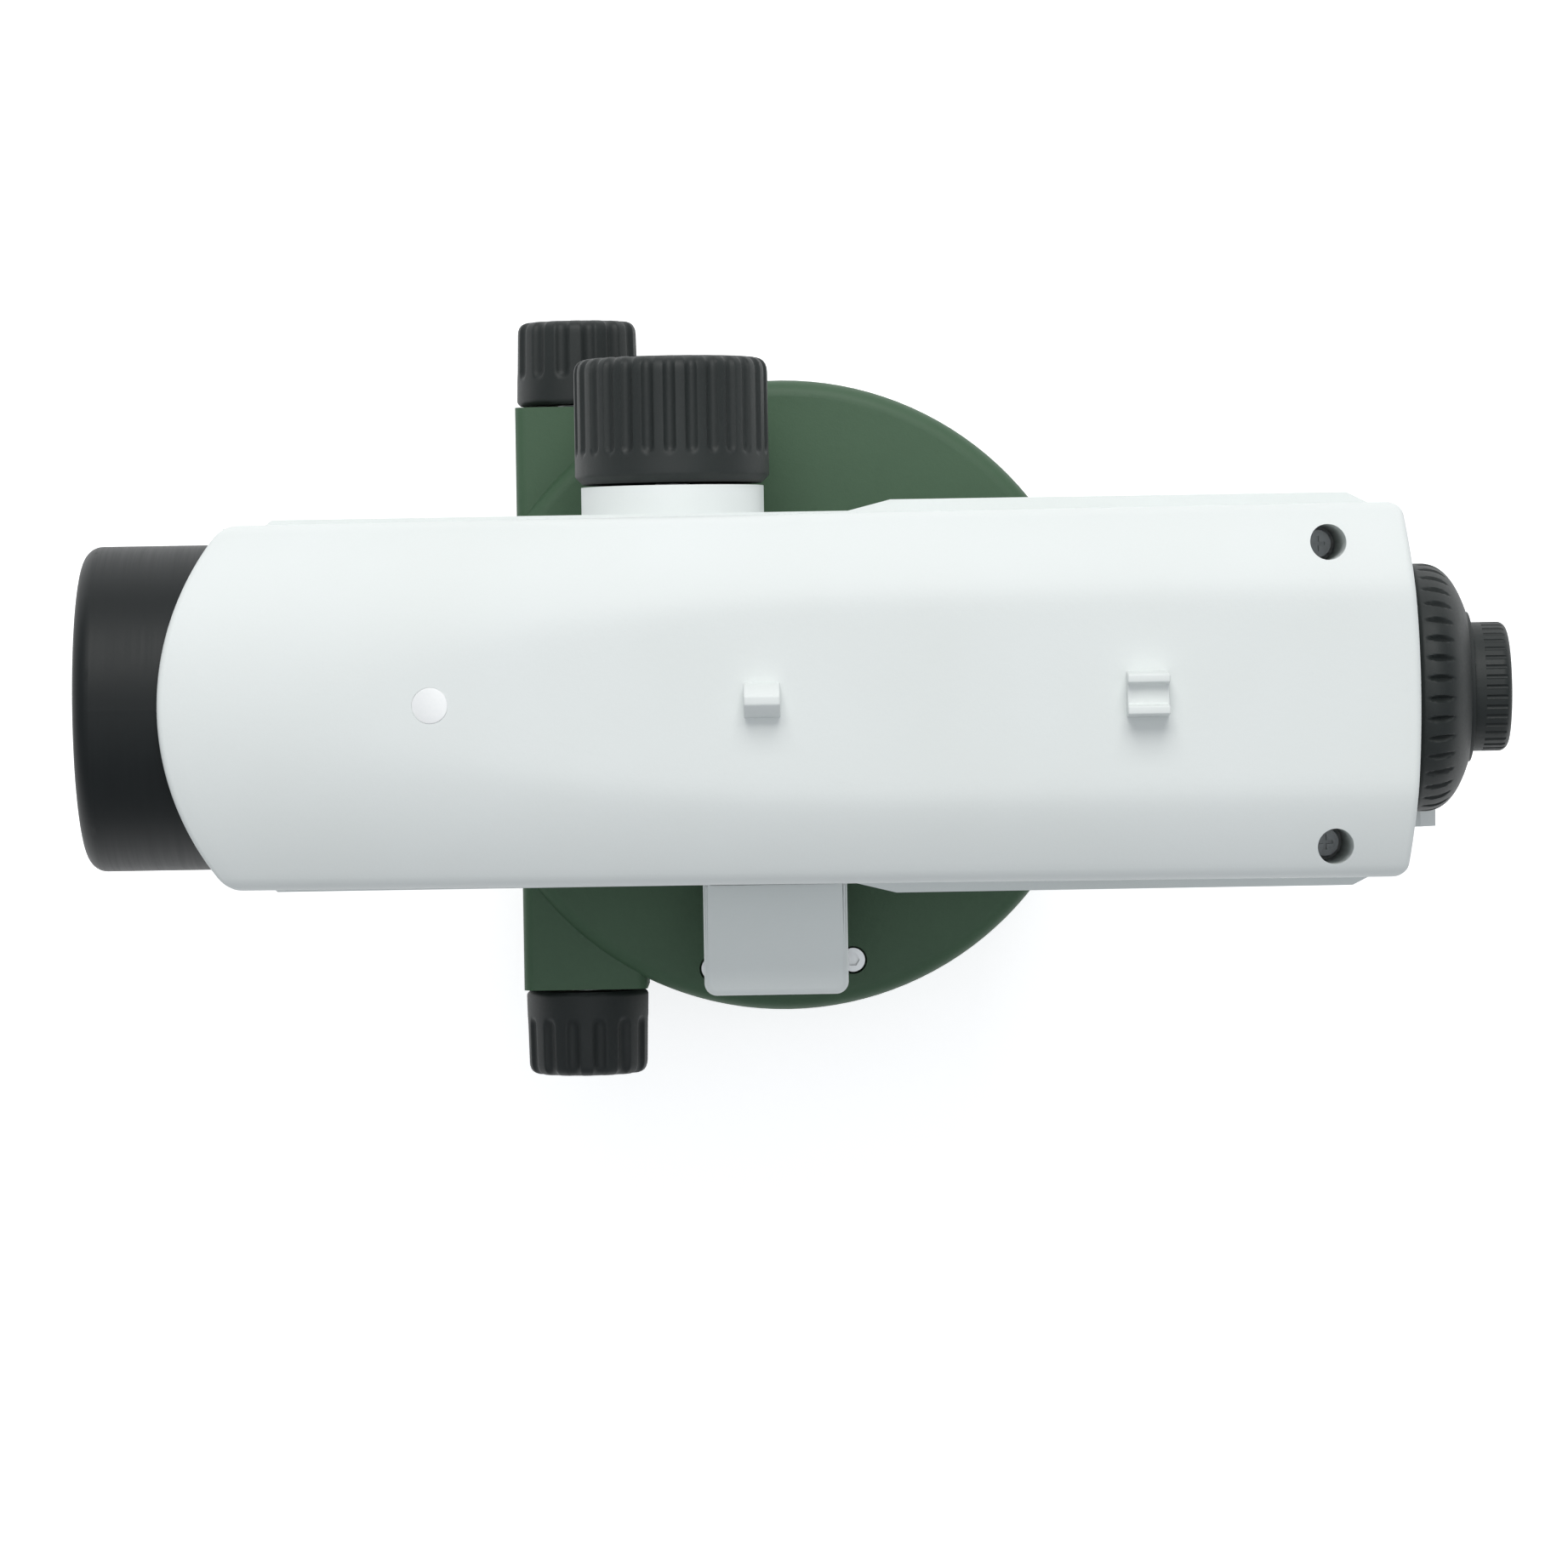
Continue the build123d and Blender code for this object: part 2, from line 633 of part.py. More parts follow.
def tangent_knob(side):
    length = TANGENT_KNOB_END - TANGENT_KNOB_START
    inner_r, outer_r = TANGENT_KNOB_R, TANGENT_KNOB_R - TANGENT_KNOB_TAPER
    profile = [(0, 0), (0, inner_r - 0.5), (0.5, inner_r), (length, outer_r), (length, 0)]
    knob = grooved_knob(
        profile, TANGENT_KNOB_CORNER, TANGENT_GROOVES, TANGENT_GROOVE_R, TANGENT_KNOB_R + 0.35,
        TANGENT_KNOB_SMOOTH + TANGENT_GROOVE_R, length,
    )
    knob -= disc(DRIVE_SHAFT_R, 0, length - TANGENT_KNOB_WALL)
    return Pos(DRIVE_X, side * TANGENT_KNOB_START, DRIVE_Z) * Rot(-90 * side, 0, 0) * knob


# Main housing

def housing_plan():
    """The outline of the main housing from above, its rear end a shallow arc."""
    side = [
        (HOUSING_FRONT, HOUSING_FRONT_HALF), (SHOULDER_X, HOUSING_FRONT_HALF),
        (SHOULDER_X + SHOULDER_RAMP, HOUSING_HALF), (PANEL_START, HOUSING_HALF),
        (PANEL_START + 2 * PANEL_RAMP, PANEL_HALF), (PANEL_END - PANEL_RAMP, PANEL_HALF),
        (PANEL_END, HOUSING_HALF), (REAR_CORNER_X - 1, HOUSING_HALF), (REAR_CORNER_X, HOUSING_HALF - 1),
    ]
    other = [(x, -y) for x, y in reversed(side)]
    rear = ThreePointArc(side[-1], (REAR_CENTRE_X, 0), other[0])
    return make_face([Polyline(*side), rear, Polyline(*other), Line(other[-1], side[0])])


def trough(half, low, corner, start, end):
    """A U section along X, open at the parting plane."""
    width = Pos(0, (low + PARTING_Z) / 2) * Rectangle(2 * half, PARTING_Z - low)
    width = fillet(width.vertices().group_by(Axis.Y)[0], corner)
    return Pos(start, 0, 0) * Rot(0, 0, 90) * Rot(90, 0, 0) * extrude(width, end - start)


def main_housing():
    form = Pos(0, 0, TROUGH_LOW) * extrude(housing_plan(), PARTING_Z - TROUGH_LOW)
    form &= trough(PANEL_HALF, TROUGH_LOW, TROUGH_CORNER, HOUSING_FRONT, CHIN_X)
    foot = fillet(Rectangle(NECK_LENGTH, NECK_WIDTH).vertices(), NECK_CORNER)
    head = fillet(Rectangle(NECK_LENGTH + 2 * NECK_FLARE, NECK_WIDTH + NECK_FLARE).vertices(), NECK_CORNER)
    form += loft([Pos(NECK_X, 0, DISC_TOP) * foot, Pos(NECK_X, 0, FLOOR_Z) * head])
    chin_y0, chin_y1 = CHIN_Y - CHIN_WIDTH / 2, CHIN_Y + CHIN_WIDTH / 2
    chin = block(REAR_CORNER_X - 2, CHIN_X, chin_y0, chin_y1, CHIN_LOW, CHIN_HIGH)
    form += chamfer(chin.edges().filter_by(Axis.Y).group_by(Axis.X)[-1], 2.4)
    form += cross_disc(FOCUS_BOSS_R, HOUSING_HALF - HOUSING_WALL, FOCUS_BOSS_END, FOCUS_X, FOCUS_Z)
    inside = HOUSING_HALF - HOUSING_WALL
    cavity = trough(inside, FLOOR_Z, TROUGH_CORNER - HOUSING_WALL, BARREL_STEP_X, REAR_CENTRE_X - REAR_WALL)
    form -= cavity
    form += cross_disc(POST_R * 2, PINION_Y + PINION_WIDTH + AIR, inside + 0.5, FOCUS_X, FOCUS_Z)
    form += block(TUBE_REAR - 4, TUBE_REAR, -inside, inside, FLOOR_Z, PARTING_Z)
    form -= block(TUBE_REAR - 5, TUBE_REAR + 1, PINION_Y - AIR, inside + 1, FOCUS_Z - 4, PARTING_Z)
    for x, y in REAR_SCREWS:
        form += disc(POST_R, FLOOR_Z - 1, PARTING_Z, x, y)
        form -= disc(SCREW_R, SCREW_SEAT_Z - SCREW_LENGTH, PARTING_Z, x, y)
    form -= sight_disc(BARREL_R + FIT, HOUSING_FRONT, BARREL_STEP_X)
    form -= sight_disc(TUBE_R + FIT, TUBE_REAR - 4, TUBE_REAR)
    form -= sight_disc(MOUNT_R + FIT, REAR_CENTRE_X - REAR_WALL - 1, CHIN_X)
    bush_r = FOCUS_SHAFT_R + RUN + FOCUS_BUSH_WALL
    form -= cross_disc(bush_r, PINION_Y + PINION_WIDTH, FOCUS_BOSS_END, FOCUS_X, FOCUS_Z)
    for place in housing_screw_places():
        form -= disc(SCREW_R, DISC_TOP, DISC_TOP + 6, *place)
    return form


# Top cover

def cover_plan(inset):
    """The cover from above: a round nose over the barrel and a shallow round tail."""
    half, rear_half = COVER_HALF - inset, COVER_REAR_HALF - inset
    tip = COVER_TIP_X + inset
    corner = COVER_CORNER_X + inset
    tail_corner, tail = REAR_CORNER_X - inset, REAR_CENTRE_X - inset
    nose = ThreePointArc((corner, -half + 1), (tip, 0), (corner, half - 1))
    upper = Polyline((corner, half - 1), (corner + 1, half), (tail_corner - 2, rear_half), (tail_corner, rear_half - 2))
    end = ThreePointArc((tail_corner, rear_half - 2), (tail, 0), (tail_corner, 2 - rear_half))
    lower = Polyline((tail_corner, 2 - rear_half), (tail_corner - 2, -rear_half), (corner + 1, -half), (corner, 1 - half))
    return make_face([nose, upper, end, lower])


def cover_section(inset):
    """The cover from the front: an arch with rounded shoulders on upright sides."""
    half = COVER_REAR_HALF - inset
    radius = COVER_ARCH_R - inset
    crown = COVER_CROWN_Z - inset
    shoulder = crown - radius + sqrt(radius**2 - half**2)
    arch = ThreePointArc((-half, shoulder), (0, crown), (half, shoulder))
    walls = Polyline((half, shoulder), (half, PARTING_Z), (-half, PARTING_Z), (-half, shoulder))
    section = make_face([arch, walls])
    return fillet(section.vertices().group_by(Axis.Y)[-1], COVER_SIDE_CORNER - inset)


def cover_plateau(inset):
    """What lies over the plateau: a long shallow arc that leaves the crown and falls to a flat."""
    top = COVER_CROWN_Z - inset
    low = top - PLATEAU_DROP
    length = PLATEAU_FULL - PLATEAU_START
    arc_r = (length**2 + PLATEAU_DROP**2) / 2 / PLATEAU_DROP
    points = []
    for reach in (length + PLATEAU_LEAD, length / 2, 0):
        points.append((PLATEAU_FULL - reach, low + arc_r - sqrt(arc_r**2 - reach**2)))
    start = points[0][0]
    over = top + 10
    rest = Polyline(points[-1], (CHIN_X, low), (CHIN_X, over), (start, over), points[0])
    profile = Plane.XZ * make_face([ThreePointArc(*points), rest])
    return extrude(profile, COVER_REAR_HALF, both=True)


def cover_form(inset):
    form = Pos(0, 0, PARTING_Z) * extrude(cover_plan(inset), COVER_CROWN_Z - PARTING_Z)
    section = Pos(COVER_TIP_X, 0, 0) * Rot(0, 0, 90) * Rot(90, 0, 0) * extrude(
        cover_section(inset), REAR_CENTRE_X - COVER_TIP_X
    )
    return (form & section) - cover_plateau(inset)


def front_sight():
    x0 = FRONT_SIGHT_X - FRONT_SIGHT_LENGTH / 2
    sight = block(x0, x0 + FRONT_SIGHT_LENGTH, -FRONT_SIGHT_WIDTH / 2, FRONT_SIGHT_WIDTH / 2,
                  COVER_INSIDE_Z - 1, SIGHT_TOP_Z)
    ridge = sight.edges().filter_by(Axis.X).group_by(Axis.Z)[-1]
    return chamfer(ridge, FRONT_SIGHT_WIDTH / 2 - 0.7)


def rear_sight():
    x0, x1 = REAR_SIGHT_X - REAR_SIGHT_LENGTH / 2, REAR_SIGHT_X + REAR_SIGHT_LENGTH / 2
    half = REAR_SIGHT_WIDTH / 2
    sight = block(x0, x1, -half, half, COVER_INSIDE_Z - 1, SIGHT_TOP_Z)
    sight -= block(x0, x1, -REAR_SIGHT_SLOT / 2, REAR_SIGHT_SLOT / 2, SIGHT_TOP_Z - 1.8, SIGHT_TOP_Z)
    return sight


def top_cover():
    form = cover_form(0)
    inside = cover_form(COVER_WALL)
    inside -= block(COVER_TIP_X, BARREL_STEP_X, -COVER_REAR_HALF, COVER_REAR_HALF, PARTING_Z, COVER_CROWN_Z)
    inside -= block(REAR_CENTRE_X - REAR_WALL, CHIN_X, -COVER_REAR_HALF, COVER_REAR_HALF,
                    PARTING_Z, COVER_CROWN_Z)
    form -= inside
    boss_low = AXIS_Z + BARREL_REAR_R + FIT
    posts = [disc(POST_R, PARTING_Z, COVER_CROWN_Z, x, y) for x, y in REAR_SCREWS]
    posts.append(disc(POST_R, boss_low, COVER_CROWN_Z, FRONT_SCREW_X, 0))
    for post in posts:
        form += post & cover_form(0)
    for x, y in REAR_SCREWS:
        form -= disc(COUNTERBORE_R, SCREW_SEAT_Z, COVER_CROWN_Z, x, y)
        form -= disc(SCREW_R + FIT, PARTING_Z, SCREW_SEAT_Z, x, y)
    form -= disc(COUNTERBORE_R, FRONT_SCREW_SEAT_Z, COVER_CROWN_Z, FRONT_SCREW_X, 0)
    form -= disc(FRONT_SCREW_R + FIT, boss_low - 1, FRONT_SCREW_SEAT_Z, FRONT_SCREW_X, 0)
    form -= sight_disc(BARREL_R + FIT, COVER_TIP_X - 1, BARREL_STEP_X)
    form -= sight_disc(BARREL_REAR_R + FIT, BARREL_STEP_X, BARREL_REAR)
    form -= sight_disc(MOUNT_R + FIT, REAR_CENTRE_X - REAR_WALL - 1, CHIN_X)
    return form + front_sight() + rear_sight()


def cover_screws():
    screws = Part()
    for x, y in REAR_SCREWS:
        screw = disc(SCREW_R, SCREW_SEAT_Z - SCREW_LENGTH, SCREW_SEAT_Z, x, y)
        top = SCREW_SEAT_Z + SCREW_HEAD
        head = disc(SCREW_HEAD_R, SCREW_SEAT_Z, top, x, y)
        for turn in (0, 90):
            head -= Pos(x, y, top) * Rot(0, 0, turn) * Box(2.2, 0.5, 1.6)
        screws += screw + head
    return screws


def front_cover_screw():
    seat = FRONT_SCREW_SEAT_Z
    screw = disc(FRONT_SCREW_R, seat - FRONT_SCREW_LENGTH, seat, FRONT_SCREW_X, 0)
    return screw + disc(FRONT_SCREW_HEAD_R, seat, seat + FRONT_SCREW_HEAD, FRONT_SCREW_X, 0)


def front_screw_plug():
    low = FRONT_SCREW_SEAT_Z + FRONT_SCREW_HEAD + 0.1
    return disc(COUNTERBORE_R, low, low + PLUG_THICK, FRONT_SCREW_X, 0)


# Objective and focusing

def objective_barrel():
    hood_end = LENS_FRONT_EDGE - RETAINER_THICK
    barrel = sight_turned([
        (BARREL_FRONT, HOOD_R), (BARREL_FRONT, BARREL_R), (BARREL_STEP_X, BARREL_R), (BARREL_STEP_X, BARREL_REAR_R),
        (BARREL_REAR, BARREL_REAR_R), (BARREL_REAR, TUBE_R + FIT), (TUBE_FRONT, TUBE_R + FIT),
        (TUBE_FRONT, LENS_SHOULDER_R - 2), (LENS_REAR_EDGE, LENS_SHOULDER_R), (LENS_REAR_EDGE, LENS_R + FIT),
        (LENS_FRONT_EDGE, LENS_R + FIT), (LENS_FRONT_EDGE, HOOD_R - 0.6), (hood_end, HOOD_R - 0.6),
        (hood_end, HOOD_R),
    ])
    barrel = fillet(widest_edge(barrel.edges().group_by(Axis.X)[0]), BARREL_CORNER)
    screw_low = FRONT_SCREW_SEAT_Z - FRONT_SCREW_LENGTH
    barrel -= disc(FRONT_SCREW_R, screw_low, AXIS_Z + BARREL_REAR_R + 1, FRONT_SCREW_X, 0)
    return barrel - arm_slot()


def objective_retaining_ring():
    return sight_ring(HOOD_R - 0.6, RETAINER_R, LENS_FRONT_EDGE - RETAINER_THICK, LENS_FRONT_EDGE)


def objective_lens_front():
    return lens(LENS_R, LENS_FRONT_EDGE, -LENS_FRONT_BULGE, LENS_JOIN_EDGE, LENS_JOIN_BULGE)


def objective_lens_rear():
    return lens(LENS_R, LENS_JOIN_EDGE + LENS_GAP, LENS_JOIN_BULGE, LENS_REAR_EDGE, 0.6)


def arm_slot():
    """The slot that the arm of the rack passes through, as long as the arm's travel."""
    low = RACK_LINE_Z + TOOTH_DEDENDUM - SLOT_SIDE
    start = CELL_X - CELL_LENGTH / 2 - FOCUS_TRAVEL - 1
    end = CELL_X + CELL_LENGTH / 2 + FOCUS_TRAVEL + 1
    return block(start, end, 0, BARREL_R, low, low + RACK_BACK + 2 * SLOT_SIDE)


def focusing_tube():
    return sight_ring(TUBE_R, TUBE_BORE_R, TUBE_FRONT, TUBE_REAR) - arm_slot()


def focusing_lens_cell():
    x0, x1 = CELL_X - CELL_LENGTH / 2, CELL_X + CELL_LENGTH / 2
    bore = CELL_R - CELL_WALL
    return sight_turned([
        (x0, bore - 1), (x0, CELL_R), (x1, CELL_R), (x1, bore), (x0 + 4, bore), (x0 + 4, bore - 1),
    ])


def focusing_lens():
    x0 = CELL_X - CELL_LENGTH / 2 + 4
    return lens(CELL_R - CELL_WALL, x0, 1.2, x0 + 4.5, -1.2)


def focus_rack():
    x0 = CELL_X - CELL_LENGTH / 2
    low = RACK_LINE_Z + TOOTH_DEDENDUM
    y1 = PINION_Y + PINION_WIDTH
    bar = block(x0, RACK_REAR, PINION_Y, y1, low, low + RACK_BACK)
    arm = block(x0, CELL_X + CELL_LENGTH / 2, 0, PINION_Y, low, low + RACK_BACK) - sight_disc(CELL_R, x0, -CELL_X)
    pitch = pi * FOCUS_MODULE
    slope = 0.364
    wide, narrow = TOOTH_THICK / 2 + TOOTH_DEDENDUM * slope, TOOTH_THICK / 2 - TOOTH_ADDENDUM * slope
    tip = RACK_LINE_Z - TOOTH_ADDENDUM
    outline = make_face(Polyline((-wide, low), (-narrow, tip), (narrow, tip), (wide, low), close=True))
    tooth = extrude(Plane.XZ.offset(-PINION_Y) * outline, -PINION_WIDTH)
    first = int((x0 - FOCUS_X) / pitch) + 0.5
    last = int((RACK_REAR - FOCUS_X) / pitch) - 0.5
    count = int(last - first) + 1
    rack = bar + [Pos(FOCUS_X + (first + i) * pitch, 0, 0) * tooth for i in range(count)]
    return rack + arm


def focus_pinion():
    outline = toothed_wheel(
        PINION_PITCH_R, PINION_TEETH, TOOTH_ADDENDUM, TOOTH_DEDENDUM, TOOTH_THICK, 0.32, 0.95
    )
    gear = extrude(outline, PINION_WIDTH) - Cylinder(FOCUS_SHAFT_R - 0.9, 3 * PINION_WIDTH)
    return Pos(FOCUS_X, PINION_Y, FOCUS_Z) * Rot(-90, 0, 0) * gear


def focus_shaft():
    inner = FOCUS_SHAFT_R - 0.9
    shoulder = PINION_Y + PINION_WIDTH
    end = FOCUS_KNOB_END - FOCUS_KNOB_WALL
    return cross_turned([
        (PINION_Y, 0), (PINION_Y, inner), (shoulder, inner), (shoulder, FOCUS_SHAFT_R), (end, FOCUS_SHAFT_R), (end, 0),
    ], FOCUS_X, FOCUS_Z)


def focus_bush():
    bore = FOCUS_SHAFT_R + RUN
    start, end = PINION_Y + PINION_WIDTH + AIR, FOCUS_BOSS_END
    return cross_turned([
        (start, bore), (end, bore), (end, bore + FOCUS_BUSH_WALL), (start, bore + FOCUS_BUSH_WALL),
    ], FOCUS_X, FOCUS_Z)


def focus_knob():
    length = FOCUS_KNOB_END - FOCUS_KNOB_START
    r = FOCUS_KNOB_R
    profile = [(0, 0), (0, r - FOCUS_KNOB_CHAMFER), (FOCUS_KNOB_CHAMFER, r), (length, r), (length, 0)]
    knob = grooved_knob(
        profile, FOCUS_KNOB_CORNER, FOCUS_GROOVES, FOCUS_GROOVE_R, r + 0.3, FOCUS_KNOB_SMOOTH + FOCUS_GROOVE_R, length
    )
    knob -= disc(FOCUS_SHAFT_R, 0, length - FOCUS_KNOB_WALL)
    return Pos(FOCUS_X, FOCUS_KNOB_START, FOCUS_Z) * Rot(-90, 0, 0) * knob


# Compensator

def compensator_frame():
    outer = CHEEK_INSIDE + CHEEK_THICK
    frame = block(COMP_FRONT, COMP_REAR, -outer, outer, COMP_TOP - COMP_ROOF, COMP_TOP)
    for side in (-1, 1):
        y0, y1 = sorted((side * CHEEK_INSIDE, side * outer))
        cheek = block(COMP_FRONT, COMP_REAR, y0, y1, FLOOR_Z, COMP_TOP - COMP_ROOF)
        window = block(COMP_FRONT + 8, COMP_REAR - 8, y0, y1, FLOOR_Z + 12, COMP_TOP - COMP_ROOF - 5)
        frame += cheek - window
    middle = (COMP_FRONT + COMP_REAR) / 2
    arm_top = PENDULUM_PRISM_LOW - PENDULUM_THICK - 2 * AIR
    for side in (-1, 1):
        y0, y1 = sorted((side * (VANE_THICK / 2 + 0.8 + MAGNET_THICK), side * CHEEK_INSIDE))
        frame += block(middle - 4, middle + 4, y0, y1, FLOOR_Z, arm_top)
    return frame


def damper_magnets():
    middle = (COMP_FRONT + COMP_REAR) / 2
    height = PENDULUM_PRISM_LOW - PENDULUM_THICK - VANE_DROP / 2
    magnets = Part()
    for side in (-1, 1):
        ends = sorted((side * (VANE_THICK / 2 + 0.8), side * (VANE_THICK / 2 + 0.8 + MAGNET_THICK)))
        magnets += cross_disc(MAGNET_R, *ends, middle, height)
    return magnets


def wedge_prism(x0, length, high, lean):
    """A fixed prism under the frame's roof, its lower face rising by lean towards +X."""
    low = high - PRISM_HEIGHT
    front, rear = low + max(-lean, 0), low + max(lean, 0)
    outline = Plane.XZ * make_face(Polyline((x0, high), (x0 + length, high), (x0 + length, rear), (x0, front), close=True))
    return extrude(outline, PRISM_HALF_WIDTH, both=True)


def fixed_prisms():
    roof = COMP_TOP - COMP_ROOF
    front = wedge_prism(PRISM_FRONT_X, PRISM_LENGTH, roof, -PRISM_LEAN)
    return Part() + [front, wedge_prism(PRISM_REAR_X, PRISM_LENGTH, roof, PRISM_LEAN)]


def pendulum_frame():
    low = PENDULUM_PRISM_LOW - PENDULUM_THICK
    plate = block(PENDULUM_FRONT, PENDULUM_REAR, -PENDULUM_HALF, PENDULUM_HALF, low, PENDULUM_PRISM_LOW)
    for side in (-1, 1):
        y0, y1 = sorted((side * (TAPE_Y + TAPE_WIDTH / 2 - PENDULUM_THICK), side * PENDULUM_HALF))
        plate += block(PENDULUM_FRONT, PENDULUM_REAR, y0, y1, low, PENDULUM_PRISM_LOW + 4)
    middle = (COMP_FRONT + COMP_REAR) / 2
    vane = block(middle - VANE_LENGTH / 2, middle + VANE_LENGTH / 2, -VANE_THICK / 2, VANE_THICK / 2,
                 low - VANE_DROP, low)
    return plate + vane


def pendulum_prism():
    x0 = (COMP_FRONT + COMP_REAR - PENDULUM_PRISM_LENGTH) / 2
    x1 = x0 + PENDULUM_PRISM_LENGTH
    low, high = PENDULUM_PRISM_LOW, PENDULUM_PRISM_LOW + PENDULUM_PRISM_HEIGHT
    outline = Plane.XZ * make_face(Polyline((x0, low), (x1, low), (x1 - 4, high), (x0 + 4, high), close=True))
    return extrude(outline, PRISM_HALF_WIDTH, both=True)


def suspension_tapes():
    middle = (COMP_FRONT + COMP_REAR) / 2
    high, low = COMP_TOP - COMP_ROOF, PENDULUM_PRISM_LOW + 4
    tapes = Part()
    for end in (-1, 1):
        top, foot = middle + end * TAPE_TOP_SPREAD, middle + end * TAPE_LOW_SPREAD
        strip = make_face(Polyline(
            (top, high), (top + TAPE_THICK, high), (foot + TAPE_THICK, low), (foot, low), close=True
        ))
        for side in (-1, 1):
            plane = Plane.XZ.offset(-side * TAPE_Y)
            tapes += extrude(plane * strip, TAPE_WIDTH / 2, both=True)
    return tapes


# Eyepiece end

def eyepiece_mount():
    return sight_turned([
        (MOUNT_FRONT, MOUNT_CHAMBER_R), (MOUNT_FRONT, MOUNT_R), (MOUNT_FLANGE_START, MOUNT_R),
        (MOUNT_FLANGE_START, MOUNT_FLANGE_R), (MOUNT_FLANGE_END, MOUNT_FLANGE_R),
        (MOUNT_FLANGE_END, DOME_HOLE_R - 0.5), (MOUNT_REAR, DOME_HOLE_R - 0.5), (MOUNT_REAR, EYE_TUBE_R + RUN),
        (MOUNT_CHAMBER_END, EYE_TUBE_R + RUN), (MOUNT_CHAMBER_END, MOUNT_CHAMBER_R),
    ]) - reticle_screw_holes()


def reticle_rods(radius, inner, outer):
    x = RETICLE_X + RETICLE_CELL / 2
    rod = disc(radius, inner, outer)
    return [Pos(x, 0, AXIS_Z) * Rot(turn, 0, 0) * rod for turn in (0, 120, 240)]


def reticle_screw_holes():
    return Part() + reticle_rods(RETICLE_SCREW_R, MOUNT_CHAMBER_R - 1, MOUNT_R + 1)


def reticle_screws():
    cell_r = MOUNT_CHAMBER_R - FIT
    return Part() + reticle_rods(RETICLE_SCREW_R, cell_r, MOUNT_R + RETICLE_SCREW_STAND)


def reticle_cell():
    return sight_ring(MOUNT_CHAMBER_R - FIT, RETICLE_R, RETICLE_X, RETICLE_X + RETICLE_CELL)


def reticle_glass():
    start = RETICLE_X + (RETICLE_CELL - RETICLE_GLASS) / 2
    return sight_disc(RETICLE_R, start, start + RETICLE_GLASS)


def eyepiece_tube():
    return sight_ring(EYE_TUBE_R, EYE_TUBE_R - EYE_TUBE_WALL, EYE_TUBE_FRONT, EYE_TUBE_REAR)


def field_lens():
    return lens(EYE_TUBE_R - EYE_TUBE_WALL, EYE_TUBE_FRONT + 2, -1.0, EYE_TUBE_FRONT + 4, 1.0)


def eye_lens():
    return lens(EYE_TUBE_R - EYE_TUBE_WALL, EYE_TUBE_REAR - 4.5, -1.0, EYE_TUBE_REAR - 2, 1.2)


def eyepiece_ring():
    r, c = EYE_RING_R, EYE_RING_CORNER
    ring = sight_turned([
        (EYE_RING_START, EYE_TUBE_R + RUN), (EYE_RING_START, r), (EYE_RING_END, r),
        (EYE_RING_END, EYE_RING_LIP_R + 1.2), (EYE_TUBE_REAR + 0.1, EYE_RING_LIP_R),
        (EYE_TUBE_REAR + 0.1, EYE_TUBE_R + RUN),
    ])
    ring = fillet(widest_edge(ring.edges().group_by(Axis.X)[-1]), c)
    notch = Rot(0, 90, 0) * Cylinder(0.35, 3, align=(Align.CENTER, Align.CENTER, Align.MIN))
    start = EYE_RING_END - c - 2.4
    cuts = [Pos(start, 0, AXIS_Z) * Rot(i * 360 / EYE_RIBS, 0, 0) * Pos(0, 0, r + 0.1) * notch
            for i in range(EYE_RIBS)]
    return ring - cuts


def reticle_cover():
    """The bayonet ring: a dome with short slots round its rim, over the flange of the eyepiece mount."""
    bore = DOME_R - DOME_WALL
    start = (DOME_START, DOME_R - 0.5)
    rim = [start, (DOME_START + 0.5, DOME_R), (DOME_START + 1.3, DOME_R)]
    crest = (DOME_END - 0.8, DOME_LIP_R + 0.3)
    dome = ThreePointArc(
        (rim[-1][0], 0, rim[-1][1]), (DOME_START + 4.0, 0, DOME_R - 2.4), (crest[0], 0, crest[1])
    )
    inner = [crest, (DOME_END, DOME_LIP_R - 0.6), (DOME_END, DOME_HOLE_R), (MOUNT_REAR + AIR, DOME_HOLE_R),
             (MOUNT_REAR + AIR, bore), (DOME_START, bore), start]
    outline = [
        Polyline(*[(x, 0, r) for x, r in rim]), dome, Polyline(*[(x, 0, r) for x, r in inner]),
    ]
    ring = Pos(0, 0, AXIS_Z) * revolve(make_face(outline), Axis.X)
    cutter = Rot(90, 0, 0) * Cylinder(DOME_SLOT_DISC_R, DOME_SLOT_WIDTH)
    height = DOME_R + DOME_SLOT_DISC_R - DOME_SLOT_DEPTH
    cuts = [Pos(DOME_START + 2.3, 0, AXIS_Z) * Rot(i * 360 / DOME_SLOTS, 0, 0) * Pos(0, 0, height) * cutter
            for i in range(DOME_SLOTS)]
    return ring - cuts


# Circular level and its prism box

def level_vial_holder():
    hub = Pos(VIAL_X, VIAL_Y, HOLDER_LOW) * Cylinder(
        HOLDER_HUB_R, HOLDER_THICK, align=(Align.CENTER, Align.CENTER, Align.MIN)
    )
    for x, y in level_screw_places():
        lug = Sketch() + [Pos(x, y) * Circle(HOLDER_LUG_R), Pos(VIAL_X, VIAL_Y) * Circle(HOLDER_LUG_R)]
        hub += Pos(0, 0, HOLDER_LOW) * extrude(make_hull(lug.edges()), HOLDER_THICK)
    cup_r = VIAL_R + FIT + HOLDER_WALL
    hub += disc(cup_r, HOLDER_LOW, VIAL_HIGH - VIAL_DOME - 1, VIAL_X, VIAL_Y)
    hub -= disc(VIAL_R + FIT, VIAL_LOW, VIAL_HIGH, VIAL_X, VIAL_Y)
    for place in level_screw_places():
        hub -= disc(LEVEL_SCREW_R, HOLDER_LOW, HOLDER_LOW + HOLDER_THICK, *place)
    return hub


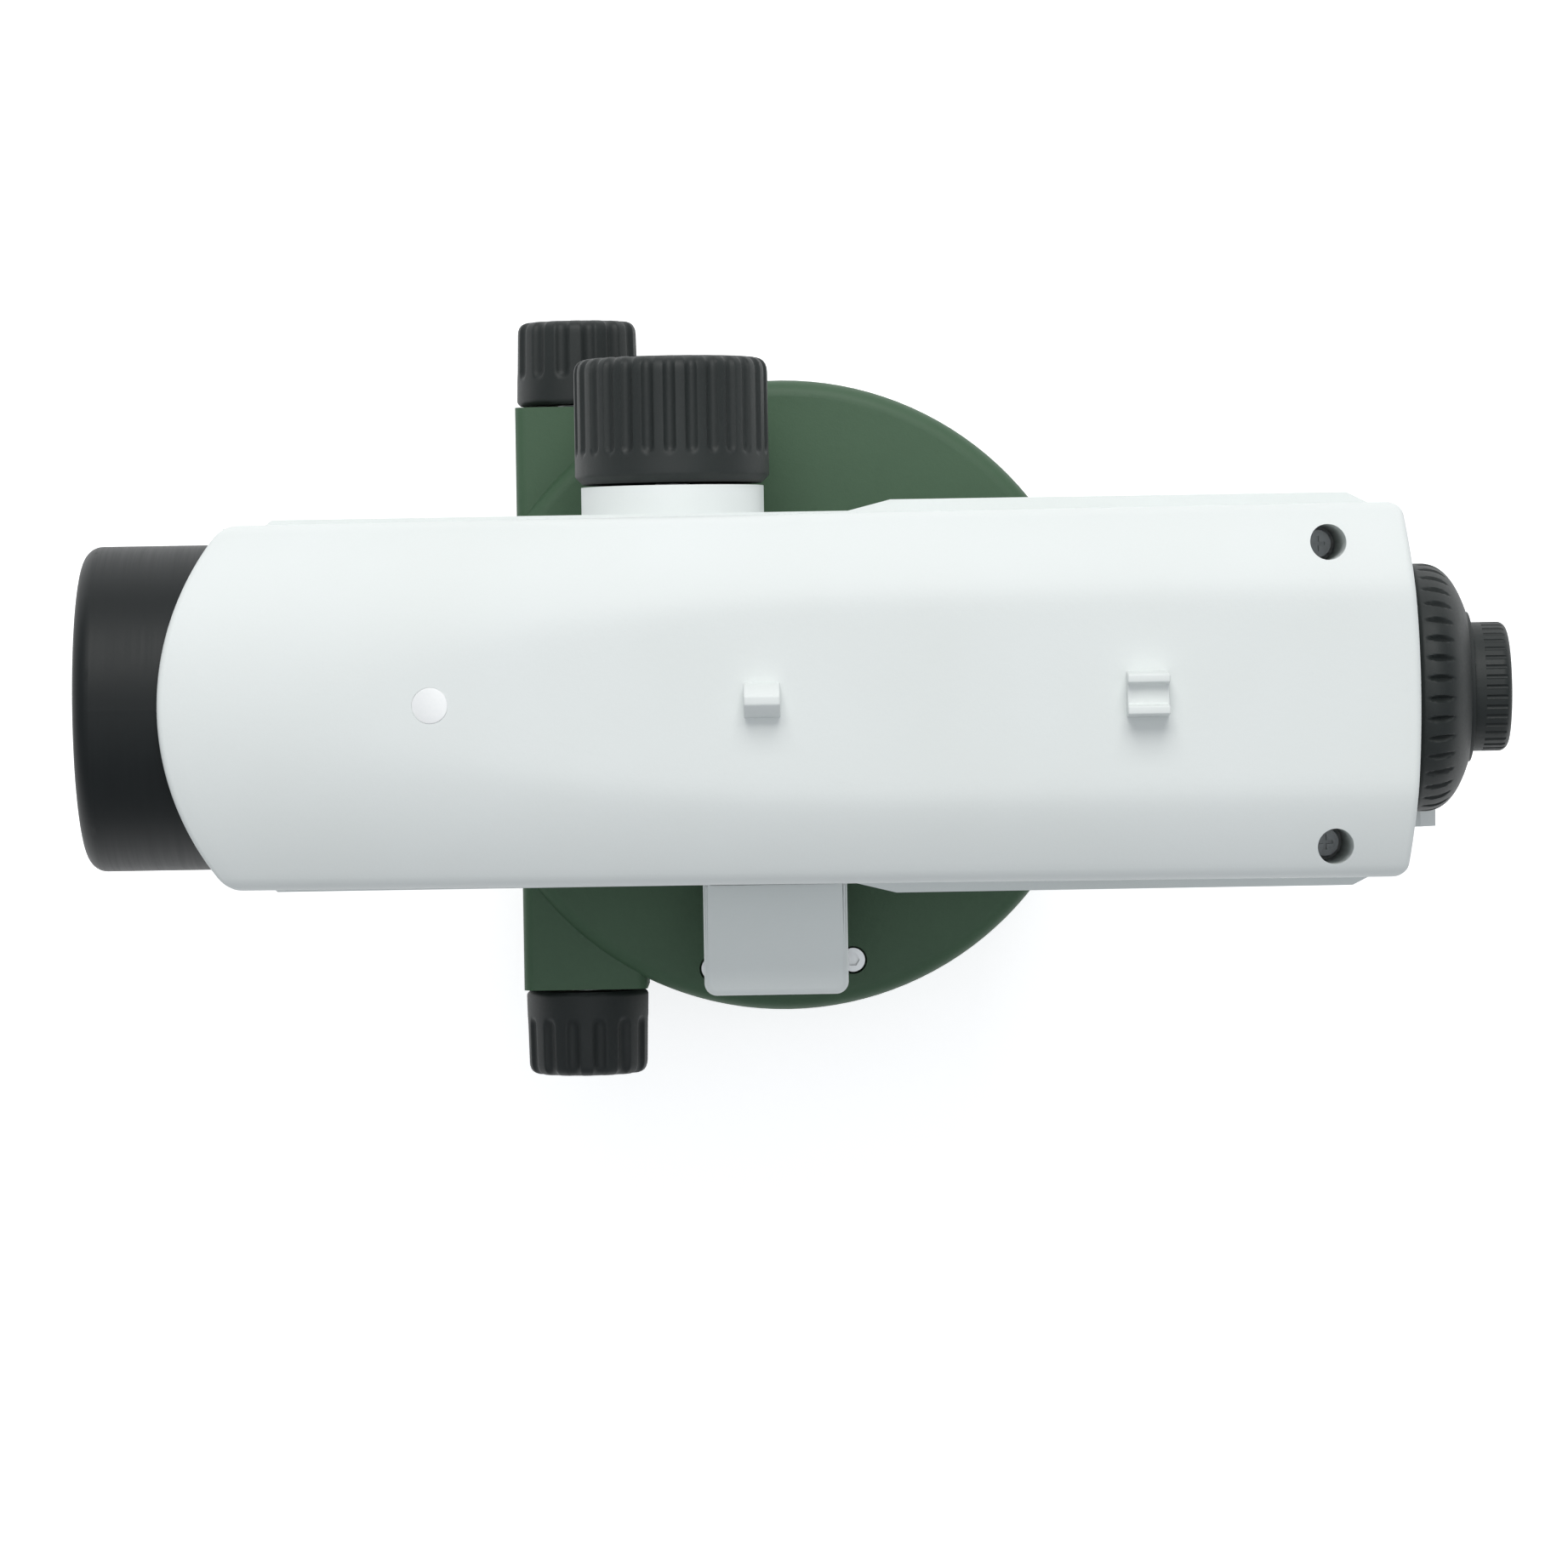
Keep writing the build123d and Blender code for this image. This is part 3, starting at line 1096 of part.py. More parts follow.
def level_vial():
    rim = VIAL_HIGH - VIAL_DOME
    half = VIAL_R / 2
    dome = ThreePointArc((VIAL_R, 0, rim), (half, 0, rim + cap_height(VIAL_R, VIAL_DOME, half)), (0, 0, VIAL_HIGH))
    sides = Polyline((0, 0, VIAL_HIGH), (0, 0, VIAL_LOW), (VIAL_R, 0, VIAL_LOW), (VIAL_R, 0, rim))
    return Pos(VIAL_X, VIAL_Y, 0) * revolve(make_face([dome, sides]), Axis.Z)


def level_adjusting_screws():
    screws = Part()
    top = LEVEL_SCREW_SEAT_Z + LEVEL_SCREW_HEAD
    for x, y in level_screw_places():
        screw = disc(LEVEL_SCREW_R, HOLDER_LOW, LEVEL_SCREW_SEAT_Z, x, y)
        head = disc(LEVEL_SCREW_HEAD_R, LEVEL_SCREW_SEAT_Z, top, x, y)
        socket = Pos(x, y, top - 1.2) * extrude(RegularPolygon(0.95, 6), 1.2)
        screws += screw + (head - socket)
    return screws


def bubble_prism_housing():
    box = block(BOX_START, BOX_END, BOX_OUT, BOX_IN, BOX_LOW, BOX_HIGH)
    box = fillet(box.edges().filter_by(Axis.Z).group_by(Axis.Y)[0], BOX_CORNER)
    box = fillet(box.edges().group_by(Axis.Z)[-1], 1.0)
    box -= block(BOX_START + BOX_WALL, BOX_END - BOX_WALL, BOX_OUT + BOX_WALL, BOX_IN - BOX_WALL,
                 BOX_LOW, BOX_HIGH - BOX_WALL)
    window_low = BOX_HIGH - BOX_WALL - PRISM_GLASS + 1
    box -= block(BOX_END - BOX_WALL, BOX_END, BOX_OUT + BOX_WALL + 1.5, BOX_IN - BOX_WALL - 1.5,
                 window_low, BOX_HIGH - BOX_WALL - 1)
    return box - main_housing_side()


def main_housing_side():
    """The flank of the main housing that the box is seated on."""
    return block(BOX_START - 1, BOX_END + 1, -HOUSING_HALF, 0, BOX_LOW - 1, BOX_HIGH + 1)


def bubble_prism():
    x1 = BOX_END - BOX_WALL
    x0 = x1 - PRISM_GLASS
    high = BOX_HIGH - BOX_WALL
    low = high - PRISM_GLASS
    outline = Plane.XZ * make_face(Polyline((x1, low), (x1, high), (x0, high), (x0, high - 2), (x1 - 2, low), close=True))
    y0, y1 = BOX_OUT + BOX_WALL, BOX_IN - BOX_WALL
    return Pos(0, (y0 + y1) / 2, 0) * extrude(outline, (y1 - y0) / 2, both=True)


PIECES = {
    "base_plate": base_plate,
    "spring_plate": spring_plate,
    "spring_plate_screws": spring_plate_screws,
    "tribrach": tribrach,
    "foot_screw_bushes": foot_screw_bushes,
    "spindle_bush": spindle_bush,
    "vertical_spindle": vertical_spindle,
    "spindle_nut": spindle_nut,
    "horizontal_circle": horizontal_circle,
    "base_housing": base_housing,
    "housing_screws": housing_screws,
    "worm_wheel": worm_wheel,
    "friction_spring": friction_spring,
    "tangent_worm": tangent_worm,
    "worm_bushes": worm_bushes,
    "main_housing": main_housing,
    "top_cover": top_cover,
    "cover_screws": cover_screws,
    "front_cover_screw": front_cover_screw,
    "front_screw_plug": front_screw_plug,
    "objective_barrel": objective_barrel,
    "objective_retaining_ring": objective_retaining_ring,
    "objective_lens_front": objective_lens_front,
    "objective_lens_rear": objective_lens_rear,
    "focusing_tube": focusing_tube,
    "focusing_lens_cell": focusing_lens_cell,
    "focusing_lens": focusing_lens,
    "focus_rack": focus_rack,
    "focus_pinion": focus_pinion,
    "focus_shaft": focus_shaft,
    "focus_bush": focus_bush,
    "focus_knob": focus_knob,
    "compensator_frame": compensator_frame,
    "damper_magnets": damper_magnets,
    "fixed_prisms": fixed_prisms,
    "pendulum_frame": pendulum_frame,
    "pendulum_prism": pendulum_prism,
    "suspension_tapes": suspension_tapes,
    "eyepiece_mount": eyepiece_mount,
    "reticle_cell": reticle_cell,
    "reticle_glass": reticle_glass,
    "reticle_screws": reticle_screws,
    "reticle_cover": reticle_cover,
    "eyepiece_tube": eyepiece_tube,
    "field_lens": field_lens,
    "eye_lens": eye_lens,
    "eyepiece_ring": eyepiece_ring,
    "level_vial_holder": level_vial_holder,
    "level_vial": level_vial,
    "level_adjusting_screws": level_adjusting_screws,
    "bubble_prism_housing": bubble_prism_housing,
    "bubble_prism": bubble_prism,
}

os.makedirs("parts", exist_ok=True)
for name, make in PIECES.items():
    save(name, make())
for letter, angle in FOOT_ANGLES.items():
    save(f"foot_screw_{letter}", foot_screw(angle))
    save(f"foot_knob_{letter}", foot_knob(angle))
save("tangent_knob_right", tangent_knob(1))
save("tangent_knob_left", tangent_knob(-1))
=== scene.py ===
"""Looks of the automatic level: camera, studio, finishes, and the pieces made finer than the solids.

Sizes of the object are in millimetres. They become metres where a mesh, a node tree or a matrix takes
them. The camera and the studio are in metres.
"""

import json
from math import atan2, cos, pi, radians, sin, sqrt

import bmesh
import bpy
from mathutils import Matrix, Vector


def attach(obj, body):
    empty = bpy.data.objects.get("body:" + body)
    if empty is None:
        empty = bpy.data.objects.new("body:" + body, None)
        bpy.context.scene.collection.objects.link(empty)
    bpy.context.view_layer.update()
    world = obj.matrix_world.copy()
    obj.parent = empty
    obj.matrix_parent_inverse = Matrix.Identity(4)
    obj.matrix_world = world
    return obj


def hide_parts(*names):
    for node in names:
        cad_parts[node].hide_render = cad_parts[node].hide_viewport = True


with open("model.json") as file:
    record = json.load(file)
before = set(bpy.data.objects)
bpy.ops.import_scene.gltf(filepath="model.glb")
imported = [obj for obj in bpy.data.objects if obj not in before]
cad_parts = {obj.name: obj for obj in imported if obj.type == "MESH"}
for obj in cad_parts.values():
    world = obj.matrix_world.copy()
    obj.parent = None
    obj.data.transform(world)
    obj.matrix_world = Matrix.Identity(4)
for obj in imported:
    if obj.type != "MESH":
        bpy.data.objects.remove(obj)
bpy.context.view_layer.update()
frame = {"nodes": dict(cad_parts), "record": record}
nodes = frame["nodes"]
MM = 0.001

# What rides where, and which finish each node has
bodies = frame["record"]["behaviour"]["bodies"]
body_of_node = {node: body for body, names in bodies.items() for node in names}
slot_of_node = {row["node"]: row["material_slot"] for row in frame["record"]["subparts"]}

# Camera and studio
CAMERA = {
    "lens": 143.2, "sensor": 36, "shift_y": -0.101, "place": (0.0002, 0.0102, 0.98), "turn": -0.95,
}
CAMERA_REACH = (0.05, 20)
WHITE = (1, 1, 1, 1)
FLOOR_HALF = 3.0
FLOOR_LIFT = 0.62
WORLD_STRENGTH = 0.4
LAMP_TARGET = Vector((0, 0, 0.09))
LAMPS = {
    "window_lamp": {"place": (0, 1.1, 1.3), "size": 1.0, "watts": 17.0, "colour": (1.0, 0.995, 0.975)},
    "ceiling_lamp": {"place": (0.1, -0.1, 1.9), "size": 1.3, "watts": 4.5, "colour": (0.97, 0.99, 1.0)},
}

# Knobs, measured outwards from their inner face, and the grooves that a round cutter makes in them
FOCUS_KNOB = {
    "x": -15.5, "z": 84.5, "start": 30.8, "length": 18.0, "radius": 13.95, "edge": 1.1,
    "corner": 2.2, "taper": 0.0, "groove_start": 5.0, "face_radius": 11.85,
}
FOCUS_GROOVES = {"count": 28, "columns": 14, "cutter": 0.95, "depth": 0.55, "softness": 0.12}
TANGENT_KNOB = {
    "x": -29.9, "z": 52.0, "start": 43.4, "length": 12.4, "radius": 9.05, "edge": 0.5,
    "corner": 1.8, "taper": 0.25, "groove_start": 5.0, "face_radius": 6.85,
}
TANGENT_GROOVES = {"count": 14, "columns": 22, "cutter": 1.15, "depth": 0.6, "softness": 0.14}
EDGE_ROUNDING = 0.3
FACE_DISH = 0.35
FACE_DISH_OUTSIDE = 0.7
FACE_DISH_INSIDE = 0.66
FOOT_KNOB = {
    "start": 10.2, "length": 11.3, "radius": 11.5, "bore": 3.5, "corner": 1.2, "face": 2.6,
    "dish": 0.6, "face_radius": 9.2,
}
FOOT_SCALLOPS = {"count": 16, "columns": 16, "cutter": 2.2, "depth": 0.9, "softness": 0.15}
FOOT_RING = 36.5
FOOT_ANGLES = {"a": -90.0, "b": 30.0, "c": 150.0}
TANGENT_SIDES = {"left": 1, "right": -1}
NO_GROOVE = 50.0
BARE_EDGE = 0.2
PROFILE_STEP = 0.35
CORNER_STEPS = 6

# Domed cover of the reticle screws, along the line of sight
AXIS_Z = 100.0
DOME = {
    "start": 88.1, "first": 88.7, "straight": 90.0, "end": 96.6, "radius": 17.5, "lip": 10.4,
    "hole": 9.4, "bore": 14.6, "flange": 92.6, "rim": 0.5, "lip_length": 0.7, "fall": 0.11,
    "late_fall": 0.0018, "steps": 30,
}
DOME_SLOTS = {
    "count": 38, "columns": 16, "cutter": 3.0, "depth": 0.75, "softness": 0.06, "stretch": 4.4,
}
DOME_SLOT_MIDDLE = 91.1
DOME_STEP = 0.3

# Graduated circle
CIRCLE_R = 44.5
CIRCLE_TOP = 41.5
MARKS = {
    "Radius": CIRCLE_R, "Top": CIRCLE_TOP - 1.0, "Short": 1.6, "Middle": 2.4, "Long": 3.1,
    "Width": 0.16, "Thickness": 0.05,
}
MARK_COUNT = 360
NUMBER_STEP = 10
NUMBER_HEIGHT = 2.3
NUMBER_THICK = 0.05
NUMBER_Z = CIRCLE_TOP - 5.9
NUMBER_FINENESS = 3

# Top cover
PARTING_Z = 98.0
CROWN_Z = 125.0
ARCH_R = 48.0
ARCH_LOW_Z = 108.0
SIDE_CORNER = 3.5
FRONT_HALF = 25.3
REAR_HALF = 26.0
NOSE_TIP = -86.1
NOSE_R = 41.5
TAIL_X = 87.7
TAIL_BEND = 0.0026
PLAN_CORNER = 1.2
END_ROUNDING = 0.9
END_STEPS = 5
PLATEAU = {"start": -57.0, "full": 21.0, "drop": 2.04, "softness": 0.5}
COVER_WALL = 2.2
CAVITY_START = -62.0
CAVITY_END = 82.7
POST_R = 4.0
REAR_SCREWS = ((75.4, 20.5), (75.8, -21.5))
COUNTERBORE_R = 2.5
SCREW_SEAT_Z = 100.2
SCREW_HOLE_R = 1.5
PLUG = (-48.6, 0)
PLUG_SEAT_Z = 121.2
BARREL_SEAT_R = 22.95
BARREL_REAR_SEAT_R = 19.55
BARREL_REAR = -40.0
MOUNT_SEAT_R = 12.05
OVERLAP = 0.1
ARCH_POINTS = 44
CORNER_POINTS = 6
COVER_STATIONS = 70
CAVITY_STATIONS = 40

# Sights on the cover: outlines across it, as (y, z), and where they start and end
SIGHT_TOP = 127.4
SIGHT_FOOT = CROWN_Z - COVER_WALL
FRONT_SIGHT_EAVES = SIGHT_TOP - 1.7
FRONT_SIGHT = [
    (-2.5, SIGHT_FOOT), (2.5, SIGHT_FOOT), (1.9, FRONT_SIGHT_EAVES), (0.6, SIGHT_TOP),
    (-0.6, SIGHT_TOP), (-1.9, FRONT_SIGHT_EAVES),
]
FRONT_SIGHT_RUN = (-5.5, -0.5)
FRONT_SIGHT_EASING = 0.25
REAR_SIGHT_RIDGE = SIGHT_TOP - 0.1
REAR_SIGHT_FLOOR = SIGHT_TOP - 1.9
REAR_SIGHT = [
    (-3.2, SIGHT_FOOT), (3.2, SIGHT_FOOT), (2.75, REAR_SIGHT_RIDGE), (1.6, REAR_SIGHT_RIDGE),
    (1.4, REAR_SIGHT_FLOOR), (-1.4, REAR_SIGHT_FLOOR), (-1.6, REAR_SIGHT_RIDGE),
    (-2.75, REAR_SIGHT_RIDGE),
]
REAR_SIGHT_RUN = (47.1, 52.9)
REAR_SIGHT_EASING = 0.22

# Solids that only get their sharp edges rounded, with the width of the rounding
EASED_EDGES = {"bubble_prism_housing": 0.5, "base_plate": 0.4, "front_screw_plug": 0.15}
EASING_STEPS = 2
SIGHT_EASING_STEPS = 3

# Angles in degrees past which an edge is sharp or under which faces are one, and the distance within
# which points are one
FLAT = 0.3
SHARP = 30
SHARP_KNOB = 40
SHARP_COVER = 28
SHARP_SOLID = 32
WELD = 0.001


# Camera

def add_camera():
    data = bpy.data.cameras.new("overhead_camera")
    data.lens = CAMERA["lens"]
    data.sensor_width = CAMERA["sensor"]
    data.shift_y = CAMERA["shift_y"]
    data.clip_start, data.clip_end = CAMERA_REACH
    camera = bpy.data.objects.new("overhead_camera", data)
    camera.location = CAMERA["place"]
    camera.rotation_euler = (0, 0, radians(CAMERA["turn"]))
    bpy.context.scene.collection.objects.link(camera)
    bpy.context.scene.camera = camera


# Shader maths and nodes

def linear(level):
    """A level of 0 to 255 as a picture stores it, made linear."""
    return ((level / 255 + 0.055) / 1.055) ** 2.4 if level > 10 else level / 255 / 12.92


def srgb(red, green, blue):
    return linear(red), linear(green), linear(blue), 1


class Value:
    """One socket of a node tree. Sums on it add Math nodes."""

    def __init__(self, tree, socket):
        self.tree = tree
        self.socket = socket

    def math(self, operation, *others):
        return self.tree.make("ShaderNodeMath", {"operation": operation}, (self, *others))

    def reflected(self, operation, other):
        return self.tree.make("ShaderNodeMath", {"operation": operation}, (other, self))

    def __add__(self, other):
        return self.math("ADD", other)

    def __sub__(self, other):
        return self.math("SUBTRACT", other)

    def __mul__(self, other):
        return self.math("MULTIPLY", other)

    def __truediv__(self, other):
        return self.math("DIVIDE", other)

    def __mod__(self, other):
        return self.math("FLOORED_MODULO", other)

    def __rsub__(self, other):
        return self.reflected("SUBTRACT", other)

    def __rtruediv__(self, other):
        return self.reflected("DIVIDE", other)

    def __abs__(self):
        return self.math("ABSOLUTE")

    __radd__ = __add__
    __rmul__ = __mul__


class Tree:
    """A node tree, shader or geometry."""

    def __init__(self, nodes_of):
        self.nodes = nodes_of.nodes
        self.links = nodes_of.links
        self.nodes.clear()

    def put(self, kind, settings=None, sockets=None):
        """Adds a node: its settings first, then its sockets, by place or name, as values or links."""
        node = self.nodes.new(kind)
        for name, setting in (settings or {}).items():
            setattr(node, name, setting)
        named = sockets.items() if isinstance(sockets, dict) else enumerate(sockets or ())
        for name, given in named:
            if isinstance(given, Value):
                self.links.new(given.socket, node.inputs[name])
            elif given is not None:
                node.inputs[name].default_value = given
        return node

    def make(self, kind, settings=None, sockets=None, output=0):
        return Value(self, self.put(kind, settings, sockets).outputs[output])

    def vector(self, x, y, z):
        return self.make("ShaderNodeCombineXYZ", None, (x, y, z))

    def rays(self, *kinds):
        """1 where a ray is of one of these kinds, otherwise 0."""
        path = self.put("ShaderNodeLightPath")
        total = Value(self, path.outputs[f"Is {kinds[0]} Ray"])
        for kind in kinds[1:]:
            total = total + Value(self, path.outputs[f"Is {kind} Ray"])
        return total.math("MINIMUM", 1)


class Finish(Tree):
    """A material, with the patterns that several finishes share."""

    def __init__(self, name):
        self.material = bpy.data.materials.new(name)
        self.material.use_nodes = True
        super().__init__(self.material.node_tree)
        self.place = self.make("ShaderNodeTexCoord", output="Object")

    def noise(self, size, detail=2.0, rough=0.5, place=None):
        """Noise from 0 to 1 whose spots are about size millimetres across."""
        sockets = {"Vector": place or self.place, "Scale": 1 / (size * MM)}
        sockets.update({"Detail": detail, "Roughness": rough})
        return self.make("ShaderNodeTexNoise", None, sockets, "Fac")

    def spread(self, value, low, high):
        """The value from low to high stretched over 0 to 1."""
        sockets = {"Value": value, "From Min": low, "From Max": high}
        return self.make("ShaderNodeMapRange", None, sockets, "Result")

    def mix(self, factor, one, other):
        settings = {"data_type": "RGBA", "blend_type": "MIX"}
        return self.make("ShaderNodeMix", settings, {"Factor": factor, "A": one, "B": other}, "Result")

    def tone(self, pattern, colour, shade):
        """From colour to shade as the pattern goes through its middle values."""
        return self.mix(self.spread(pattern, 0.3, 0.7), colour, shade)

    def bump(self, height, depth, normal=None):
        """A bump of depth millimetres where height goes from 0 to 1."""
        sockets = {"Height": height, "Distance": depth * MM, "Strength": 1.0}
        if normal:
            sockets["Normal"] = normal
        return self.make("ShaderNodeBump", None, sockets)

    def close(self, sockets):
        """Ends the tree in one surface shader with these sockets."""
        surface = self.make("ShaderNodeBsdfPrincipled", None, sockets)
        self.put("ShaderNodeOutputMaterial", None, {"Surface": surface})
        return self.material


class Shaper(Tree):
    """A Geometry Nodes tree that takes a mesh and named inputs and gives one mesh with its material."""

    def __init__(self, name, count, measures):
        self.group = bpy.data.node_groups.new(name, "GeometryNodeTree")
        super().__init__(self.group)
        inputs = [("Geometry", "NodeSocketGeometry"), (count, "NodeSocketInt")]
        inputs += [(measure, "NodeSocketFloat") for measure in measures]
        inputs.append(("Material", "NodeSocketMaterial"))
        for label, kind in inputs:
            self.group.interface.new_socket(label, in_out="INPUT", socket_type=kind)
        self.group.interface.new_socket("Geometry", in_out="OUTPUT", socket_type="NodeSocketGeometry")
        self.inside = self.put("NodeGroupInput")

    def given(self, label):
        return Value(self, self.inside.outputs[label])

    def end(self, geometry):
        real = self.make("GeometryNodeRealizeInstances", None, (geometry,))
        sockets = {"Geometry": real, "Material": self.given("Material")}
        finished = self.make("GeometryNodeSetMaterial", None, sockets)
        self.put("NodeGroupOutput", None, (finished,))
        return self.group


# Pieces in general

def new_piece(name, mesh):
    piece = bpy.data.objects.new(name, mesh)
    bpy.context.scene.collection.objects.link(piece)
    return piece


def evaluated_mesh(piece):
    shape = piece.evaluated_get(bpy.context.evaluated_depsgraph_get())
    return bpy.data.meshes.new_from_object(shape)


def run_modifiers(piece):
    """Turns the piece into the plain mesh that its modifiers make of it."""
    made = evaluated_mesh(piece)
    piece.modifiers.clear()
    piece.data = made


def shaped(name, mesh, group, inputs):
    """A piece that a Geometry Nodes tree makes from a mesh and its named inputs."""
    piece = new_piece(name, mesh)
    modifier = piece.modifiers.new("shape", "NODES")
    modifier.node_group = group
    for item in group.interface.items_tree:
        if item.in_out == "INPUT" and item.name in inputs:
            modifier[item.identifier] = inputs[item.name]
    run_modifiers(piece)
    return piece


def tidy_skin(mesh, sharp=SHARP):
    """Merges doubles, turns the faces outwards and shades the mesh smooth up to the sharp angle."""
    skin = bmesh.new()
    skin.from_mesh(mesh)
    bmesh.ops.remove_doubles(skin, verts=skin.verts, dist=WELD * MM)
    bmesh.ops.dissolve_degenerate(skin, edges=skin.edges, dist=WELD * MM)
    bmesh.ops.recalc_face_normals(skin, faces=skin.faces)
    skin.to_mesh(mesh)
    skin.free()
    mesh.shade_smooth()
    mesh.set_sharp_from_angle(angle=radians(sharp))


def settle(piece, body, slot, *stands_for):
    """Puts a finished piece on its body and hides the nodes that it stands for. Its slot is not used.
    """
    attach(piece, body)
    if stands_for:
        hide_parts(*stands_for)


# Finishes

def painted(name, colour, shade, rough, peel_size, peel_depth, grain_depth):
    """Baked paint on a casting: an orange peel, a finer grain in it, and a slow drift of its tone."""
    finish = Finish(name)
    peel = finish.noise(peel_size, detail=1.0)
    grain = finish.noise(peel_size / 4, detail=2.0, rough=0.7)
    drift = finish.noise(28, detail=3.0)
    bumps = finish.bump(peel, peel_depth)
    return finish.close({
        "Base Color": finish.tone(drift * 0.7 + grain * 0.3, colour, shade),
        "Roughness": finish.spread(grain, 0, 1) * 0.12 + (rough - 0.06),
        "Normal": finish.bump(grain, grain_depth, bumps), "Specular IOR Level": 0.4,
    })


def moulded(name, colour, shade, rough, grain_size, grain_depth):
    """Moulded plastic with the fine grain of its mould, and scuffs that shine a little more."""
    finish = Finish(name)
    grain = finish.noise(grain_size, detail=2.0, rough=0.6)
    scuffs = finish.spread(finish.noise(9, detail=5.0, rough=0.65), 0.52, 0.72)
    drift = finish.noise(14, detail=2.0)
    return finish.close({
        "Base Color": finish.tone(grain * 0.5 + drift * 0.5, colour, shade),
        "Roughness": grain * 0.14 - scuffs * 0.06 + rough,
        "Normal": finish.bump(grain, grain_depth), "Specular IOR Level": 0.45,
    })


def turned_metal(name, colour, shade, rough, line_size, axis="Z", anodised=False):
    """Metal from the lathe: fine rings about an axis, each a little lighter or darker."""
    finish = Finish(name)
    stretch = [1 if letter == axis else 0.02 for letter in "XYZ"]
    sockets = {"Vector": finish.place, "Scale": stretch}
    lines = finish.make("ShaderNodeMapping", {"vector_type": "POINT"}, sockets)
    rings = finish.noise(line_size, detail=3.0, rough=0.7, place=lines)
    spots = finish.noise(3.5, detail=3.0, rough=0.6)
    return finish.close({
        "Base Color": finish.tone(rings * 0.6 + spots * 0.4, colour, shade),
        "Metallic": 0.0 if anodised else 1.0,
        "Roughness": rings * 0.16 + (rough - 0.08), "Normal": finish.bump(rings, 0.006),
        "Specular IOR Level": 0.28 if anodised else 0.5,
    })


def clear_glass(name, tint):
    """Coated glass, with a faint film on it."""
    finish = Finish(name)
    film = finish.noise(6, detail=3.0)
    return finish.close({
        "Base Color": finish.tone(film, tint, WHITE), "Roughness": film * 0.03, "IOR": 1.52,
        "Transmission Weight": 1.0,
    })


def make_finishes():
    """One finish for each slot of the record."""
    return {
        "white_paint": painted(
            "white_paint", srgb(229, 233, 231), srgb(233, 237, 236),
            rough=0.5, peel_size=1.1, peel_depth=0.012, grain_depth=0.006,
        ),
        "green_paint": painted(
            "green_paint", srgb(63, 90, 67), srgb(71, 99, 74),
            rough=0.55, peel_size=0.7, peel_depth=0.02, grain_depth=0.012,
        ),
        "black_anodised": turned_metal(
            "black_anodised", srgb(19, 23, 24), srgb(24, 28, 29),
            rough=0.5, line_size=0.5, axis="X", anodised=True,
        ),
        "black_plastic": moulded(
            "black_plastic", srgb(27, 32, 32), srgb(34, 39, 38),
            rough=0.5, grain_size=0.35, grain_depth=0.012,
        ),
        "seal_plug": moulded(
            "seal_plug", srgb(244, 246, 246), srgb(252, 252, 252),
            rough=0.45, grain_size=0.5, grain_depth=0.004,
        ),
        "steel": turned_metal(
            "steel", srgb(190, 192, 194), srgb(208, 210, 211), rough=0.3, line_size=0.2
        ),
        "dark_steel": turned_metal(
            "dark_steel", srgb(150, 154, 156), srgb(190, 193, 195), rough=0.42, line_size=0.2
        ),
        "brass": turned_metal(
            "brass", srgb(196, 164, 96), srgb(212, 182, 116), rough=0.3, line_size=0.2
        ),
        "aluminium": turned_metal(
            "aluminium", srgb(176, 179, 182), srgb(196, 199, 201), rough=0.38, line_size=0.3
        ),
        "glass": clear_glass("glass", srgb(226, 240, 232)),
        "magnet": turned_metal(
            "magnet", srgb(120, 122, 124), srgb(140, 142, 144), rough=0.3, line_size=0.4
        ),
    }


# Studio

def add_floor():
    """Pale paper. Rays that show it, and not those that light the object, see it lifted to white."""
    half = FLOOR_HALF
    mesh = bpy.data.meshes.new("studio_floor")
    corners = [(-half, -half, 0), (half, -half, 0), (half, half, 0), (-half, half, 0)]
    mesh.from_pydata(corners, [], [(0, 1, 2, 3)])
    floor = new_piece("studio_floor", mesh)
    paper = Finish("studio_paper")
    lift = paper.rays("Camera", "Glossy", "Transmission") * FLOOR_LIFT
    fibre = paper.noise(2.0, detail=3.0)
    paper.close({
        "Base Color": paper.mix(fibre, (0.9, 0.9, 0.9, 1), (0.92, 0.92, 0.92, 1)), "Roughness": 0.9,
        "Specular IOR Level": 0.0, "Emission Color": WHITE, "Emission Strength": lift,
    })
    mesh.materials.append(paper.material)


def add_world():
    world = bpy.data.worlds.new("studio_world")
    bpy.context.scene.world = world
    world.use_nodes = True
    tree = Tree(world.node_tree)
    bare = tree.rays("Camera", "Transmission")
    sky = {"Color": srgb(244, 249, 255), "Strength": WORLD_STRENGTH}
    dim = tree.make("ShaderNodeBackground", None, sky)
    white = tree.make("ShaderNodeBackground", None, {"Color": WHITE, "Strength": 1.0})
    both = tree.make("ShaderNodeMixShader", None, (bare, dim, white))
    tree.put("ShaderNodeOutputWorld", None, {"Surface": both})


def add_lamps():
    for name, given in LAMPS.items():
        data = bpy.data.lights.new(name, "AREA")
        data.shape = "SQUARE"
        data.size = given["size"]
        data.energy = given["watts"]
        data.color = given["colour"]
        lamp = bpy.data.objects.new(name, data)
        lamp.location = given["place"]
        lamp.rotation_euler = (LAMP_TARGET - Vector(given["place"])).to_track_quat("-Z", "Y").to_euler()
        bpy.context.scene.collection.objects.link(lamp)


# Dressing the solids

def dress_solids(finishes):
    """Gives every CAD node the finish of its slot."""
    for node, slot in slot_of_node.items():
        mesh = nodes[node].data
        mesh.materials.clear()
        mesh.materials.append(finishes[slot])


# Grooved knobs

